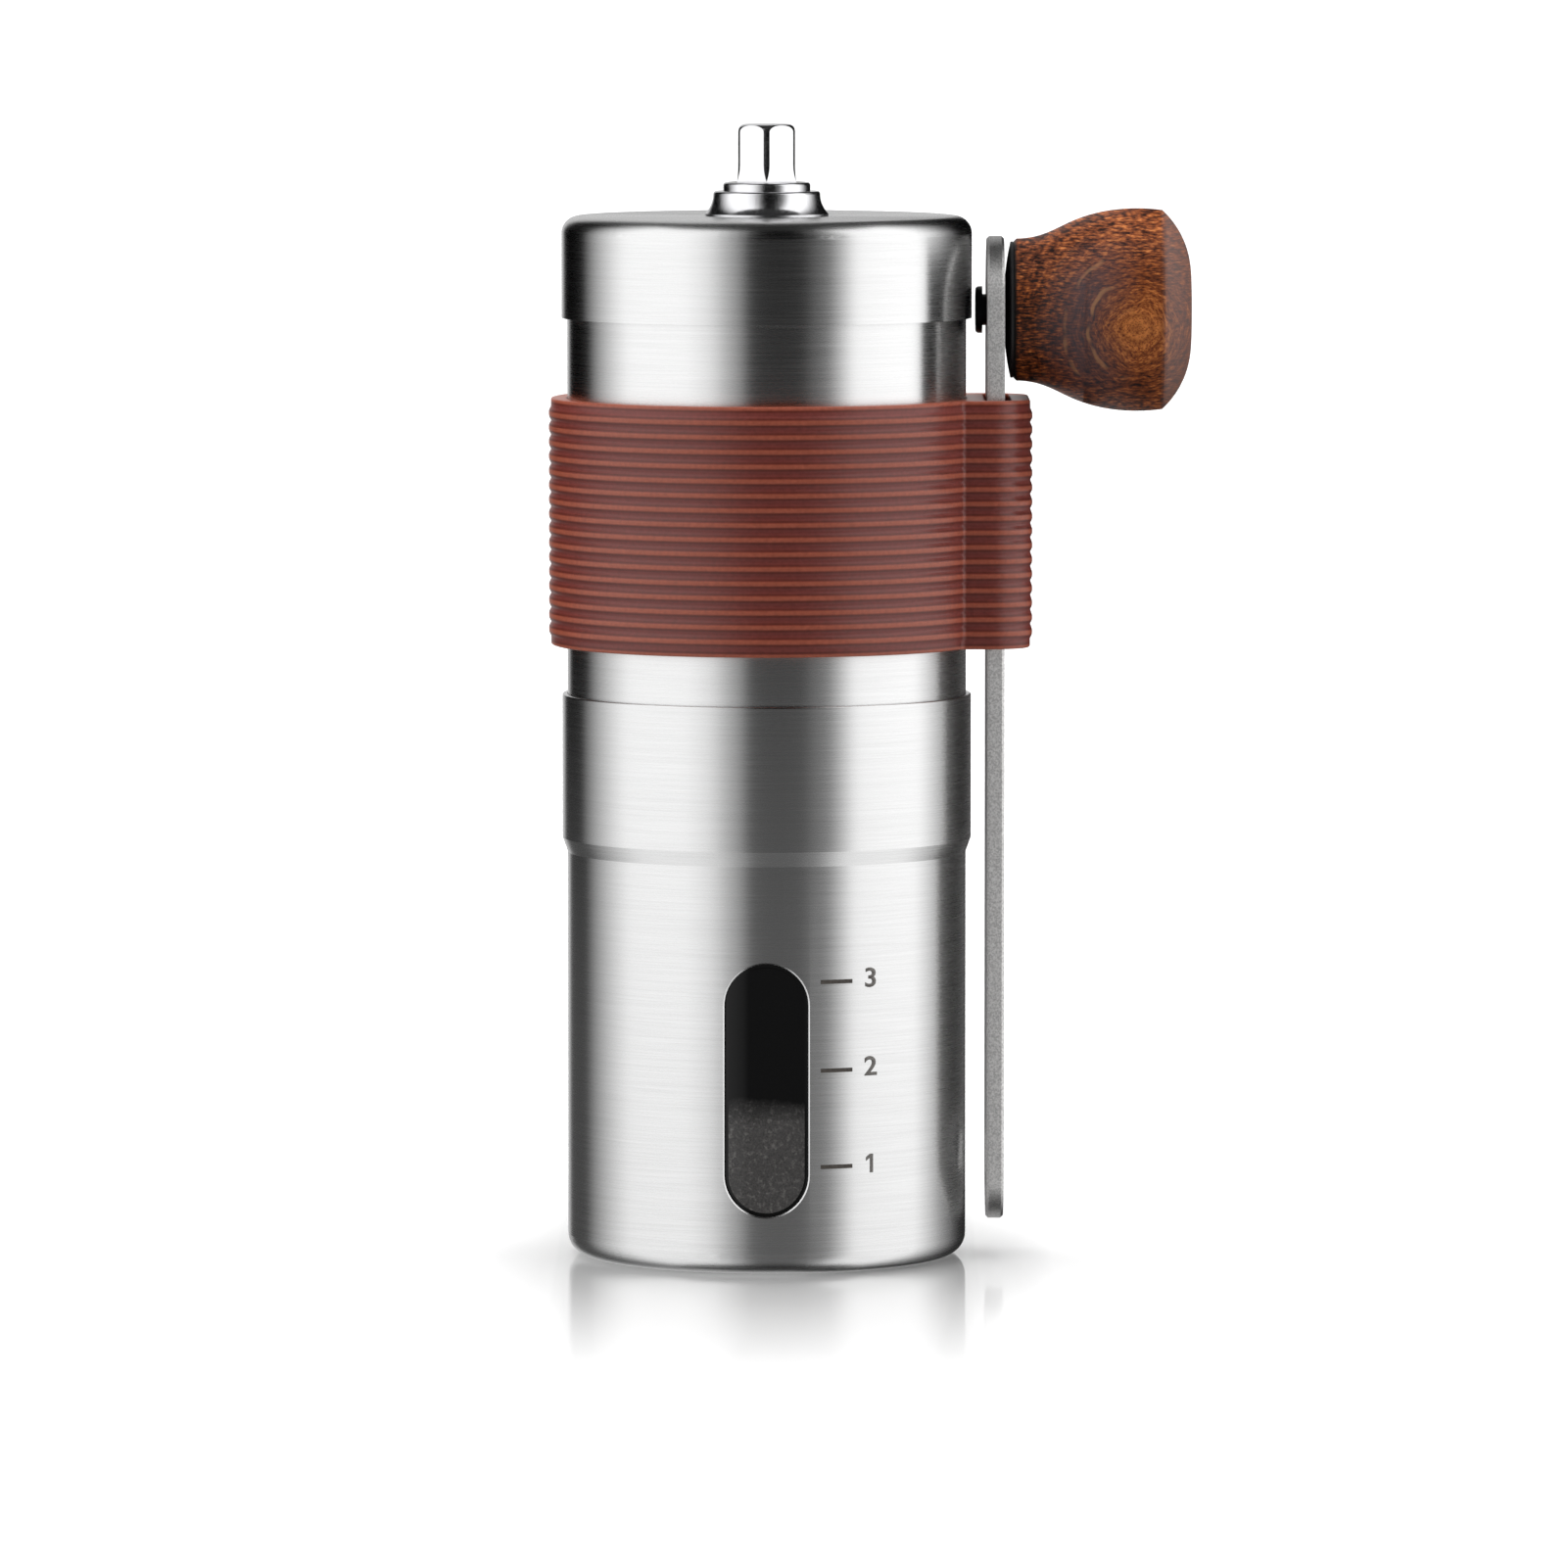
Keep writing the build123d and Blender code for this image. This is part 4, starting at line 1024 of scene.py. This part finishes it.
under = add(
    tree,
    "ShaderNodeMapRange",
    {"Value": aside, "From Min": FOOT_SIDE[0], "From Max": FOOT_SIDE[1], "To Min": 1.0, "To Max": 0.0},
)
white = add(
    tree,
    "ShaderNodeMix",
    {0: under.outputs[0], 6: linear("#ffffff"), 7: linear("#ebebeb")},
    data_type="RGBA",
)
seen = add(tree, "ShaderNodeLightPath").outputs["Is Camera Ray"]
pale = add(tree, "ShaderNodeMix", {0: seen, 6: linear("#969696"), 7: white.outputs[2]}, data_type="RGBA")
paint = add(tree, "ShaderNodeBsdfDiffuse", {"Color": pale.outputs[2]})
varnish = add(tree, "ShaderNodeBsdfGlossy", {"Roughness": 0.08, "Color": linear("#ffffff")})
both = add(tree, "ShaderNodeMixShader", {0: polish.outputs[0], 1: paint.outputs[0], 2: varnish.outputs[0]})
add(tree, "ShaderNodeOutputMaterial", {"Surface": both.outputs[0]})
floor.data.materials.append(floor_paint)
floor.visible_glossy = False
print("floor", FLOOR_SIZE, "m")

# %% Drum of lights and gaps
DRUM_R = 0.26
DRUM_Z = (-0.5, 0.5)
RISE_Z = (-0.02, 0.1)  # the lights get stronger between these heights
SHADE_Z = (0.015, 0.1)  # and the gaps darker between these
END_GLOW = 0.03
# angle from the camera's side, positive to the right, and the brightness there
DRUM_LIGHT = (
    (-180, 0.8),
    (-160, 0.8),
    (-152, 0.1),
    (-124, 0.1),
    (-84, 1.45),
    (-45, 1.45),
    (-31, 1.2),
    (-22, 0.75),
    (-13, 0.45),
    (-10, 0.2),
    (21, 0.2),
    (24, 0.28),
    (34, 0.35),
    (41, 0.75),
    (50, 1.45),
    (92, 1.6),
    (118, 0.5),
    (134, 0.15),
    (146, 0.03),
    (168, 0.03),
    (174, 0.8),
    (180, 0.8),
)
bpy.ops.object.select_all(action="DESELECT")
bpy.ops.mesh.primitive_cylinder_add(
    vertices=96,
    radius=DRUM_R,
    depth=DRUM_Z[1] - DRUM_Z[0],
    end_fill_type="NGON",
    location=(0, 0, sum(DRUM_Z) / 2),
)
drum = bpy.context.object
drum.name = "studio_drum"
# bright strips with soft edges, as a mirror shows tall lights
glow, tree = start_studio_paint("studio_drum_light")
xyz = add(tree, "ShaderNodeSeparateXYZ", {0: add(tree, "ShaderNodeTexCoord").outputs["Object"]})
back = add(tree, "ShaderNodeMath", {0: xyz.outputs["Y"], 1: -1.0}, operation="MULTIPLY")
turn = add(tree, "ShaderNodeMath", {0: xyz.outputs["X"], 1: back.outputs[0]}, operation="ARCTAN2")
share = add(tree, "ShaderNodeMapRange", {"Value": turn.outputs[0], "From Min": -math.pi, "From Max": math.pi})
light = add(tree, "ShaderNodeValToRGB", {"Fac": share.outputs[0]})
while len(light.color_ramp.elements) < len(DRUM_LIGHT):
    light.color_ramp.elements.new(0.5)
for stop, (angle, strength) in zip(light.color_ramp.elements, DRUM_LIGHT):
    stop.position = (angle + 180) / 360
    stop.color = (strength, strength, strength, 1)
height = xyz.outputs["Z"]
rise = add(
    tree,
    "ShaderNodeMapRange",
    {"Value": height, "From Min": RISE_Z[0], "From Max": RISE_Z[1], "To Min": 0.82, "To Max": 1.2},
)
shade = add(
    tree,
    "ShaderNodeMapRange",
    {"Value": height, "From Min": SHADE_Z[0], "From Max": SHADE_Z[1], "To Max": -0.26},
)
level = add(
    tree,
    "ShaderNodeMath",
    {0: light.outputs["Color"], 1: rise.outputs[0], 2: shade.outputs[0]},
    operation="MULTIPLY_ADD",
)
level = add(tree, "ShaderNodeMath", {0: level.outputs[0], 1: 0.0}, operation="MAXIMUM")
lamp = add(tree, "ShaderNodeEmission", {"Color": level.outputs[0]})
add(tree, "ShaderNodeOutputMaterial", {"Surface": lamp.outputs[0]})
# nearly black, so a mirror shows a dark room above and below
dim, tree = start_studio_paint("studio_drum_ends")
lamp = add(tree, "ShaderNodeEmission", {"Color": (END_GLOW, END_GLOW, END_GLOW, 1)})
add(tree, "ShaderNodeOutputMaterial", {"Surface": lamp.outputs[0]})
drum.data.materials.append(glow)
drum.data.materials.append(dim)
for face in drum.data.polygons:
    face.material_index = int(abs(face.normal.z) > 0.5)


def mirrors_only(prop):
    """Only shiny surfaces see this piece of the studio."""
    for ray in ("camera", "diffuse", "transmission", "volume_scatter", "shadow"):
        setattr(prop, "visible_" + ray, False)


mirrors_only(drum)
print("drum stops:", len(DRUM_LIGHT))

# %% Flag that keeps the brown of the knob out of the lid
FLAG_WIDTH = 22 * MM
FLAG_Z = (88 * MM, 116 * MM)
FLAG_FROM_NECK = 8 * MM

flag_spot = (knob_low.x + FLAG_FROM_NECK, 0, sum(FLAG_Z) / 2)
bpy.ops.object.select_all(action="DESELECT")
bpy.ops.mesh.primitive_plane_add(size=1, location=flag_spot, rotation=(0, math.pi / 2, 0))
flag = bpy.context.object
flag.name = "studio_flag"
flag.scale = (FLAG_Z[1] - FLAG_Z[0], FLAG_WIDTH, 1)
flag.data.materials.append(dim)
mirrors_only(flag)
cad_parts["wood_knob"].visible_glossy = False
print("flag at", in_mm(flag_spot))

# %% World and lamps
AIR_GREY = 0.14  # matt surfaces see grey air; eyes and mirrors see white

world = bpy.data.worlds.new("studio_world")
bpy.context.scene.world = world
world.use_nodes = True
tree = world.node_tree
tree.nodes.clear()
path = add(tree, "ShaderNodeLightPath")
shown = path.outputs["Is Camera Ray"]
for ray in ("Is Glossy Ray", "Is Transmission Ray"):
    both = add(tree, "ShaderNodeMath", {0: shown, 1: path.outputs[ray]}, operation="ADD", use_clamp=True)
    shown = both.outputs[0]
air = add(
    tree,
    "ShaderNodeMix",
    {0: shown, 6: (AIR_GREY, AIR_GREY, AIR_GREY, 1), 7: (1, 1, 1, 1)},
    data_type="RGBA",
)
sky = add(tree, "ShaderNodeBackground", {"Color": air.outputs[2], "Strength": 1.0})
add(tree, "ShaderNodeOutputWorld", {"Surface": sky.outputs[0]})

# where each lamp stands, how strong it is and how many degrees wide
LAMPS = {
    "lamp_top": ((0, 0.25, 1), 2.4, 60),
    "lamp_left": ((-0.85, -0.05, 0.5), 1.5, 90),
    "lamp_right": ((0.85, -0.05, 0.5), 1.5, 90),
}
for name, (spot, power, width) in LAMPS.items():
    bpy.ops.object.light_add(type="SUN", location=spot)
    lamp = bpy.context.object
    lamp.name = name
    lamp.data.energy = power
    lamp.data.angle = math.radians(width)
    lamp.rotation_euler = (-lamp.location).to_track_quat("-Z", "Y").to_euler()
    lamp.visible_glossy = False

# %% [markdown]
# ## The camera
# The photograph was taken from a little above, with a long lens, which keeps the tube's sides upright.

# %% The camera
CAMERA_SPOT = (2.0 * MM, -1.4, 0.165)
CAMERA_DOWN = 4.513  # degrees under level
LENS = 278.84  # millimetres

bpy.ops.object.camera_add(location=CAMERA_SPOT, rotation=(math.radians(90 - CAMERA_DOWN), 0, 0))
camera = bpy.context.object
camera.data.lens = LENS
bpy.context.scene.camera = camera
bpy.context.scene.view_settings.view_transform = "Standard"
print("camera at", in_mm(camera.location))
